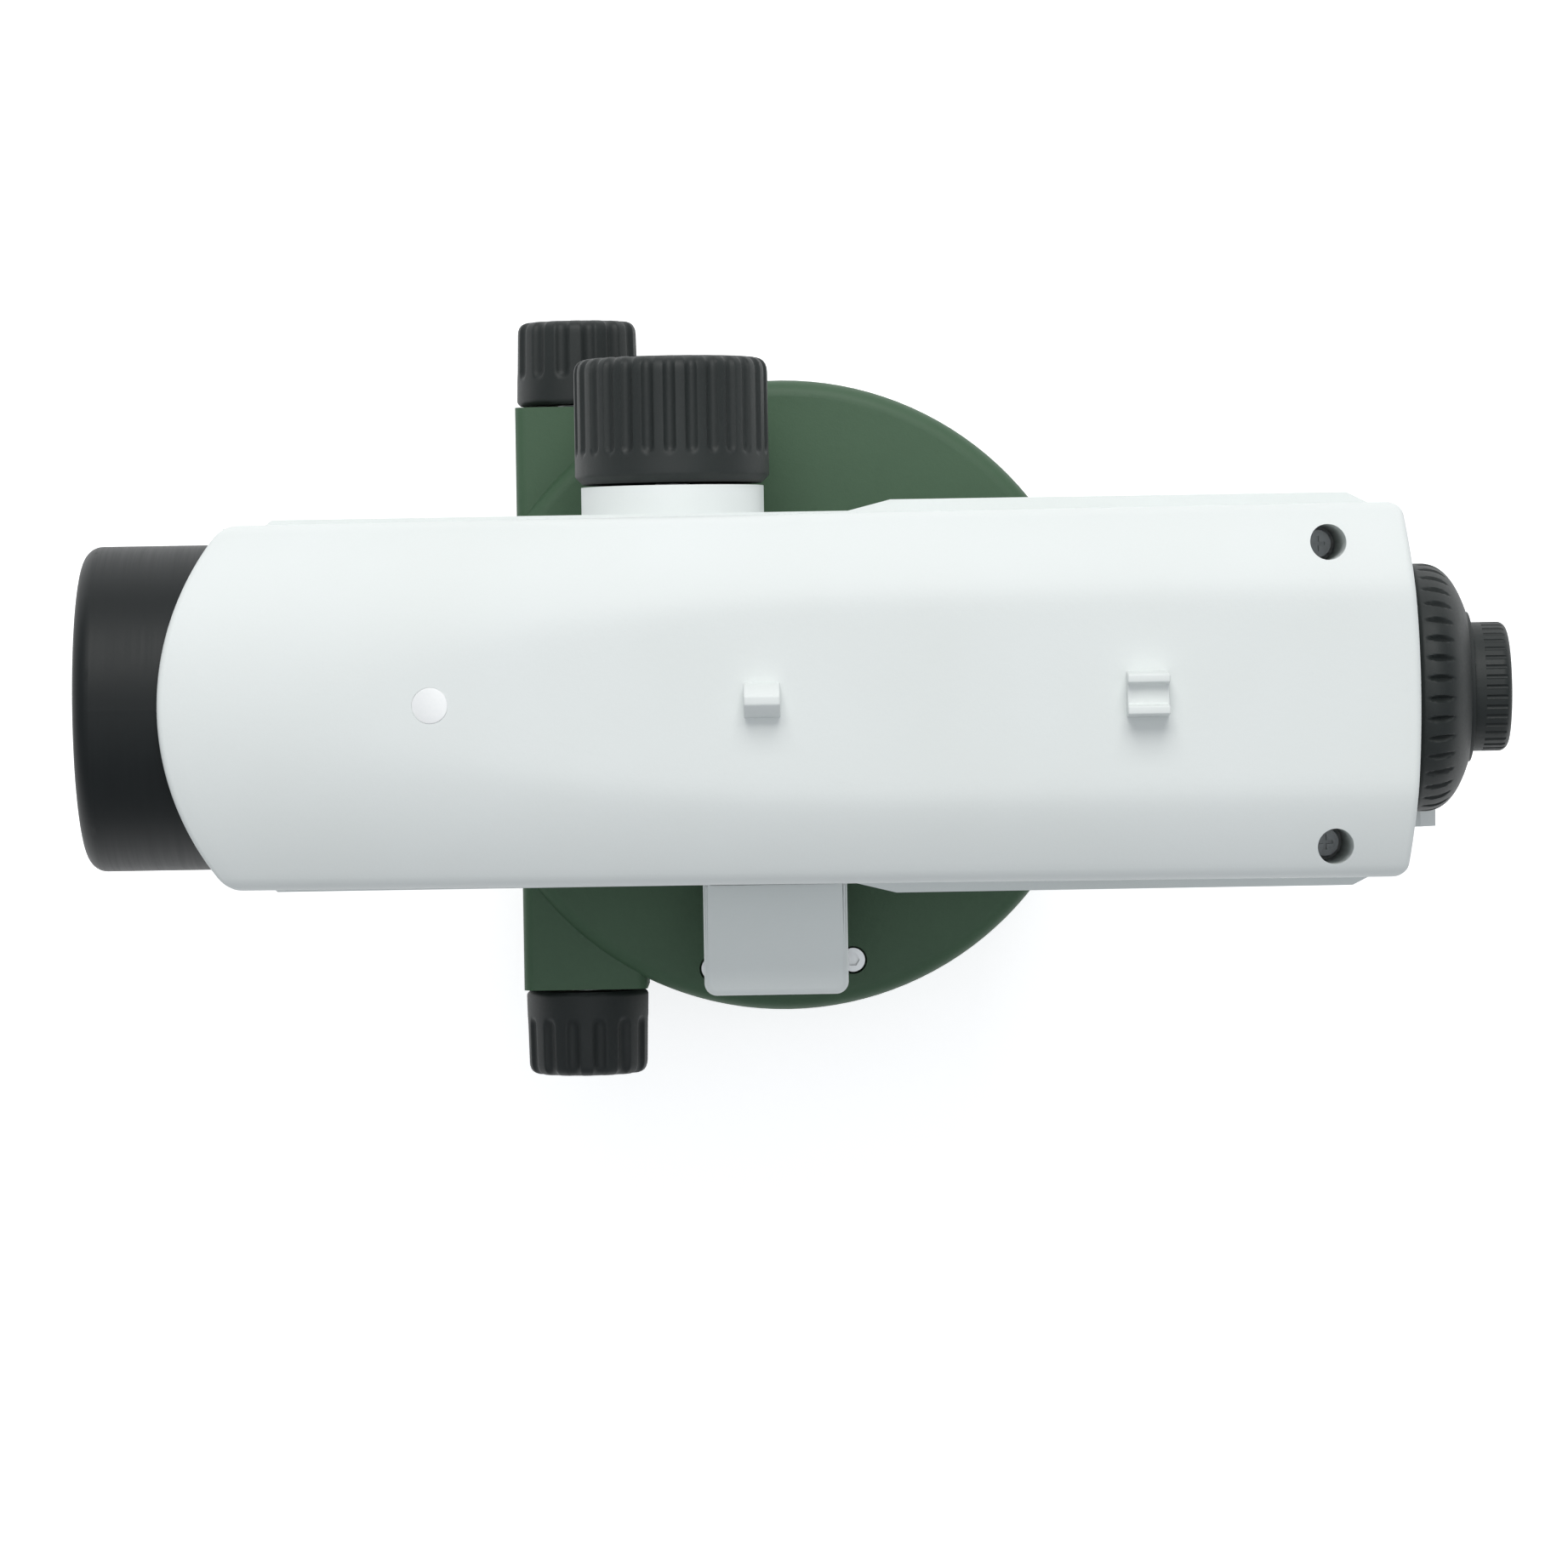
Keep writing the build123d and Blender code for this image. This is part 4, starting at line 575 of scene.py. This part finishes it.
def grooved_turning():
    """Turns a profile about X, with round-ended grooves cut along it and their edges softened.

    The profile's points are (along the axis, 0, radius). Its attribute "along" says how far each point
    lies beyond the grooves' straight run, or from the middle of a short slot. "Columns" is the mesh's
    steps round the axis.
    """
    tree = Shaper("grooved_turning", "Columns", ("Grooves", "Cutter", "Depth", "Stretch", "Softness"))
    profile, columns = tree.given("Geometry"), tree.given("Columns")
    settings = {"component": "MESH"}
    rows = tree.make("GeometryNodeAttributeDomainSize", settings, {"Geometry": profile}, "Point Count")
    counts = {"Vertices X": columns + 1, "Vertices Y": rows}
    grid = tree.make("GeometryNodeMeshGrid", None, counts, "Mesh")
    index = tree.make("GeometryNodeInputIndex")
    row = index % rows
    turn = (index / rows).math("FLOOR") / columns

    def at_row(kind, value):
        sockets = {"Geometry": profile, "Value": value, "Index": row}
        return tree.make("GeometryNodeSampleIndex", {"data_type": kind}, sockets)

    place = at_row("FLOAT_VECTOR", tree.make("GeometryNodeInputPosition"))
    stored = tree.make("GeometryNodeInputNamedAttribute", {"data_type": "FLOAT"}, {"Name": "along"})
    along = at_row("FLOAT", stored)
    parts = tree.put("ShaderNodeSeparateXYZ", None, (place,))
    axial, radius = Value(tree, parts.outputs["X"]), Value(tree, parts.outputs["Z"])
    grooves, cutter, softness = tree.given("Grooves"), tree.given("Cutter"), tree.given("Softness")
    across = abs((turn * grooves + 0.5) % 1 - 0.5) / grooves * radius * (2 * pi) * tree.given("Stretch")
    reach = (cutter * cutter - across * across - along * along).math("MAXIMUM", 0).math("SQRT")
    cut = radius + cutter - tree.given("Depth") - reach
    apart = radius - cut
    blend = (apart * apart + softness * softness).math("SQRT")
    rounded = ((radius + cut - blend) / 2).math("MAXIMUM", 0)
    angle = turn * (2 * pi)
    moved = tree.vector(axial, rounded * angle.math("COSINE"), rounded * angle.math("SINE"))
    turned = tree.make("GeometryNodeSetPosition", None, {"Geometry": grid, "Position": moved})
    joined = tree.make("GeometryNodeMergeByDistance", None, {"Geometry": turned, "Distance": WELD * MM})
    return tree.end(tree.make("GeometryNodeSetShadeSmooth", None, {"Geometry": joined}))


def towards(corner, other, distance):
    return corner + (Vector(other[:2]) - corner).normalized() * distance


def rounded_outline(corners, step):
    """Points along (place, radius, rounding) corners: corners rounded, long runs divided."""
    points = []
    for i, (place, radius, rounding) in enumerate(corners):
        corner = Vector((place, radius))
        if not rounding:
            points.append(corner)
            continue
        before = towards(corner, corners[i - 1], rounding)
        after = towards(corner, corners[i + 1], rounding)
        for k in range(CORNER_STEPS + 1):
            t = k / CORNER_STEPS
            points.append(before * (1 - t) ** 2 + corner * (2 * t * (1 - t)) + after * t**2)
    divided = [points[0]]
    for point in points[1:]:
        start = divided[-1]
        parts = max(1, round((point - start).length / step))
        divided += [start.lerp(point, (k + 1) / parts) for k in range(parts)]
    return divided


def profile_mesh(name, points, along):
    mesh = bpy.data.meshes.new(name)
    edges = [(i, i + 1) for i in range(len(points) - 1)]
    mesh.from_pydata([(point.x * MM, 0, point.y * MM) for point in points], edges, [])
    stored = mesh.attributes.new("along", "FLOAT", "POINT")
    for item, point in zip(stored.data, points):
        item.value = along(point) * MM
    return mesh


def grooved_piece(name, outline, along, cuts, place, finish, group):
    """A piece turned about X and grooved, then put in its place by a matrix in millimetres."""
    piece = shaped(name, profile_mesh(name + "_profile", outline, along), group, {
        "Columns": cuts["count"] * cuts["columns"], "Grooves": float(cuts["count"]),
        "Cutter": cuts["cutter"] * MM, "Depth": cuts["depth"] * MM, "Stretch": cuts.get("stretch", 1.0),
        "Softness": cuts["softness"] * MM, "Material": finish,
    })
    piece.data.transform(Matrix.Scale(MM, 4) @ place @ Matrix.Scale(1 / MM, 4))
    tidy_skin(piece.data, SHARP_KNOB)
    return piece


def side_knob(name, size, cuts, side, finish, group):
    """A knob at one side, with a dished face, whose grooves run out through its outer edge."""
    length, radius = size["length"], size["radius"]
    outer = radius - size["taper"]
    floor = length - FACE_DISH
    outline = rounded_outline([
        (0, 0, 0), (0, radius - size["edge"], 0), (size["edge"], radius, EDGE_ROUNDING),
        (length, outer, size["corner"]), (length, outer * FACE_DISH_OUTSIDE, 0),
        (floor, outer * FACE_DISH_INSIDE, 0), (floor, 0, 0),
    ], PROFILE_STEP)

    def along(point):
        if point.y < size["face_radius"] or point.x < BARE_EDGE:
            return NO_GROOVE
        return max(0.0, size["groove_start"] - point.x)

    place = Matrix.Translation((size["x"], side * size["start"], size["z"]))
    place = place @ Matrix.Rotation(radians(90 * side), 4, "Z")
    return grooved_piece(name, outline, along, cuts, place, finish, group)


def add_side_knobs(finish, group):
    knob = side_knob("grooved_focus_knob", FOCUS_KNOB, FOCUS_GROOVES, 1, finish, group)
    settle(knob, "focus_drive", "black_plastic", "focus_knob")
    for hand, side in TANGENT_SIDES.items():
        node = "tangent_knob_" + hand
        knob = side_knob("grooved_" + node, TANGENT_KNOB, TANGENT_GROOVES, side, finish, group)
        settle(knob, "tangent_drive", "black_plastic", node)


def add_foot_knobs(finish, group):
    """The knobs of the foot screws are rings round their rods, scalloped over their whole height."""
    size = FOOT_KNOB
    radius, length, bore, corner = size["radius"], size["length"], size["bore"], size["corner"]
    face, floor = radius - size["face"], length - size["dish"]
    outline = rounded_outline([
        (0, bore, 0), (0, radius, corner), (length, radius, corner), (length, face, EDGE_ROUNDING),
        (floor, face - size["dish"], EDGE_ROUNDING), (floor, bore, 0), (0, bore, 0),
    ], PROFILE_STEP)

    def along(point):
        return NO_GROOVE if point.y < size["face_radius"] else 0.0

    for letter, angle in FOOT_ANGLES.items():
        spot = (FOOT_RING * cos(radians(angle)), FOOT_RING * sin(radians(angle)), size["start"])
        place = Matrix.Translation(spot) @ Matrix.Rotation(radians(-90), 4, "Y")
        node = "foot_knob_" + letter
        knob = grooved_piece("scalloped_" + node, outline, along, FOOT_SCALLOPS, place, finish, group)
        settle(knob, "foot_screw_" + letter, "black_plastic", node)


# Domed cover of the reticle screws

def dome_radius(x):
    """The dome's outline, falling from its rim to its lip."""
    past = max(0.0, x - DOME["straight"])
    return DOME["radius"] - DOME["fall"] * past**2 - DOME["late_fall"] * past**4


def add_reticle_cover(finish, group):
    """A dome whose slots are short and round, with a lip round its hole."""
    start, end, bore, lip, hole = (DOME[key] for key in ("start", "end", "bore", "lip", "hole"))
    first, crest = DOME["first"], end - DOME["lip_length"]
    curve = [first + (crest - first) * k / DOME["steps"] for k in range(DOME["steps"] + 1)]
    corners = [(start, bore), (start, DOME["radius"] - DOME["rim"])]
    corners += [(x, dome_radius(x)) for x in curve]
    corners += [(crest + 0.1, lip + 0.25), (end - 0.1, lip + 0.15), (end, lip - 0.2), (end, hole)]
    corners += [(DOME["flange"], hole), (DOME["flange"], bore), (start, bore)]
    outline = rounded_outline([(x, radius, 0) for x, radius in corners], DOME_STEP)

    def along(point):
        return NO_GROOVE if point.y < bore + 0.1 else point.x - DOME_SLOT_MIDDLE

    place = Matrix.Translation((0, 0, AXIS_Z))
    piece = grooved_piece("slotted_reticle_cover", outline, along, DOME_SLOTS, place, finish, group)
    settle(piece, "reticle_cover", "black_plastic", "reticle_cover")


# Graduation of the circle

def graduation_marks():
    """Marks round a rim: every tenth is long and every fifth is of middle length."""
    tree = Shaper("graduation_marks", "Marks", MARKS)
    marks, short, middle = tree.given("Marks"), tree.given("Short"), tree.given("Middle")
    rim = tree.make("GeometryNodeMeshCircle", None, {"Vertices": marks, "Radius": tree.given("Radius")})
    index = tree.make("GeometryNodeInputIndex")
    fifth = 1 - (index % 5).math("MINIMUM", 1)
    tenth = 1 - (index % 10).math("MINIMUM", 1)
    length = short + fifth * (middle - short) + tenth * (tree.given("Long") - middle)
    drop = tree.vector(0.0, 0.0, tree.given("Top") - length / 2)
    points = tree.make("GeometryNodeSetPosition", None, {"Geometry": rim, "Offset": drop})
    # The cube takes no height that varies from mark to mark, so the marks come out without a size and
    # don't show. With a plain 1.0 for the height they do.
    size = tree.vector(tree.given("Thickness"), tree.given("Width"), length * 0 + 1)
    bar = tree.make("GeometryNodeMeshCube", None, {"Size": size})
    angle = tree.vector(0.0, 0.0, index / marks * (2 * pi))
    facing = tree.make("FunctionNodeEulerToRotation", None, (angle,))
    return tree.end(tree.make("GeometryNodeInstanceOnPoints", None, {
        "Points": points, "Instance": bar, "Rotation": facing, "Scale": tree.vector(1.0, 1.0, length),
    }))


def bent_number(degrees):
    """A plain number as a mesh, wrapped round the circle's rim."""
    name = f"number_{degrees}"
    curve = bpy.data.curves.new(name, "FONT")
    curve.body = str(degrees)
    curve.size = NUMBER_HEIGHT * MM
    curve.extrude = NUMBER_THICK / 2 * MM
    curve.align_x = "CENTER"
    curve.align_y = "CENTER"
    curve.resolution_u = NUMBER_FINENESS
    shape = new_piece(name, curve)
    mesh = evaluated_mesh(shape)
    bpy.data.objects.remove(shape)
    for vertex in mesh.vertices:
        x, y, z = vertex.co
        turn = radians(-degrees) + x / (CIRCLE_R * MM)
        out = CIRCLE_R * MM + z
        vertex.co = (out * cos(turn), out * sin(turn), NUMBER_Z * MM + y)
    return mesh


def add_graduation(finish):
    skin = bmesh.new()
    for degrees in range(0, MARK_COUNT, NUMBER_STEP):
        skin.from_mesh(bent_number(degrees))
    mesh = bpy.data.meshes.new("circle_numbers")
    skin.to_mesh(mesh)
    skin.free()
    mesh.materials.append(finish)
    numbers = new_piece("circle_numbers", mesh)
    tidy_skin(mesh)
    settle(numbers, "circle", "black_plastic")
    seed = bpy.data.meshes.new("circle_marks_seed")
    inputs = {"Marks": MARK_COUNT, "Material": finish}
    inputs.update({name: length * MM for name, length in MARKS.items()})
    marks = shaped("circle_marks", seed, graduation_marks(), inputs)
    settle(marks, "circle", "black_plastic")


# Top cover

def plateau_height(x):
    """The shallow arc that falls from the crown to the flat of the plateau."""
    low = CROWN_Z - PLATEAU["drop"]
    reach = max(0.0, PLATEAU["full"] - x)
    length = PLATEAU["full"] - PLATEAU["start"]
    radius = (length**2 + PLATEAU["drop"] ** 2) / 2 / PLATEAU["drop"]
    return low + radius - sqrt(radius**2 - reach**2)


def soft_min(one, other, softness):
    return (one + other - sqrt((one - other) ** 2 + softness**2)) / 2


def cover_half(x):
    """The cover widens a little towards its tail."""
    return FRONT_HALF + (REAR_HALF - FRONT_HALF) * (x - NOSE_TIP) / (TAIL_X - NOSE_TIP)


def cover_section(half, inset, foot):
    """The section from the +Y foot over the arch to the -Y foot, as points and outward directions."""
    radius, corner, side = ARCH_R - inset, SIDE_CORNER - inset, half - inset
    middle = CROWN_Z - ARCH_R
    corner_y = side - corner
    corner_z = middle + sqrt((radius - corner) ** 2 - corner_y**2)
    lean = atan2(corner_z - middle, corner_y)
    right = [(side, foot, 1.0, 0.0), (side, (foot + corner_z) / 2, 1.0, 0.0)]
    for k in range(CORNER_POINTS + 1):
        angle = lean * k / CORNER_POINTS
        across, up = cos(angle), sin(angle)
        right.append((corner_y + corner * across, corner_z + corner * up, across, up))
    arch = []
    for k in range(1, ARCH_POINTS):
        angle = lean + (pi - 2 * lean) * k / ARCH_POINTS
        across, up = cos(angle), sin(angle)
        arch.append((radius * across, middle + radius * up, across, up))
    left = [(-y, z, -across, up) for y, z, across, up in reversed(right)]
    return right + arch + left


def plan_pull(y, half):
    """How far the ends draw back near the corners of the plan."""
    over = abs(y) - (half - PLAN_CORNER)
    return PLAN_CORNER - sqrt(max(0.0, PLAN_CORNER**2 - over**2)) if over > 0 else 0.0


def end_drop(depth, rounding):
    """How far the surface lies under itself at a depth behind a rounded end."""
    return rounding - sqrt(max(0.0, rounding**2 - (rounding - depth) ** 2))


def cover_row(inset, foot, nose, tail, rounding, kind, step):
    """One section of the cover. Its step is a depth behind an end, or a share of the middle."""
    share = {"nose": 0, "tail": 1, "middle": step}[kind]
    half = cover_half(nose(0) + share * (tail(0) - nose(0)))
    drop = 0.0 if kind == "middle" else end_drop(step, rounding)
    points = []
    for y, z, across, up in cover_section(half, inset, foot):
        pull = plan_pull(y, half - inset) if rounding else 0.0
        start, stop = nose(y) + pull, tail(y) - pull
        inner_start, inner_stop = start + rounding, stop - rounding
        middle = inner_start + step * (inner_stop - inner_start)
        x = {"nose": start + step, "tail": stop - step, "middle": middle}[kind]
        if z > ARCH_LOW_Z:
            z = soft_min(z, plateau_height(x) - inset, PLATEAU["softness"])
        points.append((x, y - across * drop, z - up * drop))
    return points


def cover_solid(name, inset, foot, nose, tail, rounding, stations):
    """A closed form with the cover's section, between a nose and a tail that are functions of y."""
    depths = [0.0]
    if rounding:
        depths = [rounding * (1 - cos(pi / 2 * k / END_STEPS)) for k in range(END_STEPS + 1)]
    steps = [("nose", depth) for depth in depths]
    steps += [("middle", k / (stations - 1)) for k in range(1, stations - 1)]
    steps += [("tail", depth) for depth in reversed(depths)]
    rows = [cover_row(inset, foot, nose, tail, rounding, kind, step) for kind, step in steps]
    across, last = len(rows[0]), len(rows) - 1
    points = [point for row in rows for point in row]
    faces = []
    for i in range(last):
        for a in range(i * across, (i + 1) * across - 1):
            faces.append((a, a + 1, a + across + 1, a + across))
    feet = {}
    for row in (0, last):
        feet[row] = list(range(len(points), len(points) + across))
        points += [(x, y, foot) for x, y, z in rows[row]]
        for j in range(across - 1):
            a = row * across + j
            faces.append((a, a + 1, feet[row][j + 1], feet[row][j]))
    near = [i * across for i in range(last + 1)]
    far = [i * across + across - 1 for i in reversed(range(last + 1))]
    faces.append(near + feet[last] + far + list(reversed(feet[0])))
    mesh = bpy.data.meshes.new(name)
    mesh.from_pydata([(x * MM, y * MM, z * MM) for x, y, z in points], [], faces)
    tidy_skin(mesh)
    return new_piece(name, mesh)


def nose_line(y):
    return NOSE_TIP + NOSE_R - sqrt(NOSE_R**2 - y**2)


def tail_line(y):
    return TAIL_X - TAIL_BEND * y**2


def rod(name, radius, length, middle, turn, sides=96):
    """A round form, upright unless turned."""
    skin = bmesh.new()
    bmesh.ops.create_cone(
        skin, cap_ends=True, segments=sides, radius1=radius * MM, radius2=radius * MM, depth=length * MM
    )
    place = Matrix.Translation(Vector(middle) * MM) @ turn
    bmesh.ops.transform(skin, verts=skin.verts, matrix=place)
    mesh = bpy.data.meshes.new(name)
    skin.to_mesh(mesh)
    skin.free()
    return new_piece(name, mesh)


def upright_rod(name, radius, bottom, top, spot, sides=96):
    """A round form over an (x, y) spot."""
    return rod(name, radius, top - bottom, (*spot, (bottom + top) / 2), Matrix.Identity(4), sides)


def sight_rod(name, radius, start, end):
    """A round form about the line of sight."""
    turn = Matrix.Rotation(radians(90), 4, "Y")
    return rod(name, radius, end - start, ((start + end) / 2, 0, AXIS_Z), turn)


def bar_along_x(name, outline, run, easing):
    """A bar with an outline of (y, z) points, over a run along X, its edges eased."""
    count = len(outline)
    points = [(x * MM, y * MM, z * MM) for x in run for y, z in outline]
    sides = [(i, (i + 1) % count, (i + 1) % count + count, i + count) for i in range(count)]
    mesh = bpy.data.meshes.new(name)
    mesh.from_pydata(points, [], [tuple(range(count)), tuple(range(count, 2 * count)), *sides])
    tidy_skin(mesh)
    piece = new_piece(name, mesh)
    bevel = piece.modifiers.new("eased_edges", "BEVEL")
    bevel.width = easing * MM
    bevel.segments = SIGHT_EASING_STEPS
    run_modifiers(piece)
    return piece


def combine(piece, operation, others):
    """Cuts or joins closed forms, one after the other, and deletes them."""
    for other in others:
        step = piece.modifiers.new(operation.lower(), "BOOLEAN")
        step.operation = operation
        step.solver = "EXACT"
        step.object = other
    run_modifiers(piece)
    for other in others:
        bpy.data.objects.remove(other)


def add_top_cover(finish):
    """The outside with its sights first, then the screw holes, then the cavity and its round seats."""
    above = CROWN_Z + 1
    below = PARTING_Z - 1
    posts = [upright_rod("post", POST_R, PARTING_Z, SIGHT_FOOT, spot) for spot in REAR_SCREWS]
    posts.append(upright_rod("post", POST_R, AXIS_Z + BARREL_REAR_SEAT_R, SIGHT_FOOT, PLUG))
    cavity = cover_solid(
        "cavity", COVER_WALL, below, lambda y: CAVITY_START, lambda y: CAVITY_END, 0.0, CAVITY_STATIONS
    )
    combine(cavity, "DIFFERENCE", posts)
    cover = cover_solid(
        "moulded_top_cover", 0.0, PARTING_Z, nose_line, tail_line, END_ROUNDING, COVER_STATIONS
    )
    combine(cover, "UNION", [
        bar_along_x("front_sight", FRONT_SIGHT, FRONT_SIGHT_RUN, FRONT_SIGHT_EASING),
        bar_along_x("rear_sight", REAR_SIGHT, REAR_SIGHT_RUN, REAR_SIGHT_EASING),
    ])
    holes = []
    for spot in REAR_SCREWS:
        holes += [
            upright_rod("counterbore", COUNTERBORE_R, SCREW_SEAT_Z, above, spot, sides=48),
            upright_rod("screw_hole", SCREW_HOLE_R, below, SCREW_SEAT_Z + OVERLAP, spot, sides=32),
        ]
    holes.append(upright_rod("plug_seat", COUNTERBORE_R, PLUG_SEAT_Z, above, PLUG, sides=64))
    combine(cover, "DIFFERENCE", holes)
    combine(cover, "DIFFERENCE", [
        cavity, sight_rod("barrel_seat", BARREL_SEAT_R, NOSE_TIP - 2, CAVITY_START + OVERLAP),
        sight_rod("barrel_rear_seat", BARREL_REAR_SEAT_R, CAVITY_START - OVERLAP, BARREL_REAR),
        sight_rod("mount_seat", MOUNT_SEAT_R, CAVITY_END - 1, TAIL_X + 2),
    ])
    tidy_skin(cover.data, SHARP_COVER)
    cover.data.materials.clear()
    cover.data.materials.append(finish)
    settle(cover, "alidade", "white_paint", "top_cover")


# Solids with eased edges

def add_eased(node, width):
    """A copy of a solid with its sharp edges rounded, in place of the solid."""
    mesh = nodes[node].data.copy()
    skin = bmesh.new()
    skin.from_mesh(mesh)
    bmesh.ops.remove_doubles(skin, verts=skin.verts, dist=2 * WELD * MM)
    bmesh.ops.dissolve_limit(skin, angle_limit=radians(FLAT), verts=skin.verts, edges=skin.edges)
    bmesh.ops.recalc_face_normals(skin, faces=skin.faces)
    skin.to_mesh(mesh)
    skin.free()
    mesh.shade_smooth()
    piece = new_piece("eased_" + node, mesh)
    bevel = piece.modifiers.new("eased_edges", "BEVEL")
    bevel.width = width * MM
    bevel.segments = EASING_STEPS
    bevel.limit_method = "ANGLE"
    bevel.angle_limit = radians(SHARP_SOLID)
    bevel.use_clamp_overlap = False
    bevel.harden_normals = True
    run_modifiers(piece)
    settle(piece, body_of_node[node], slot_of_node[node], node)


bpy.context.scene.view_settings.view_transform = "Standard"
add_camera()
add_world()
add_lamps()
finishes = make_finishes()
plastic = finishes["black_plastic"]
add_floor()
dress_solids(finishes)
turning = grooved_turning()
add_side_knobs(plastic, turning)
add_foot_knobs(plastic, turning)
add_reticle_cover(plastic, turning)
add_graduation(plastic)
add_top_cover(finishes["white_paint"])
for node, width in EASED_EDGES.items():
    add_eased(node, width)
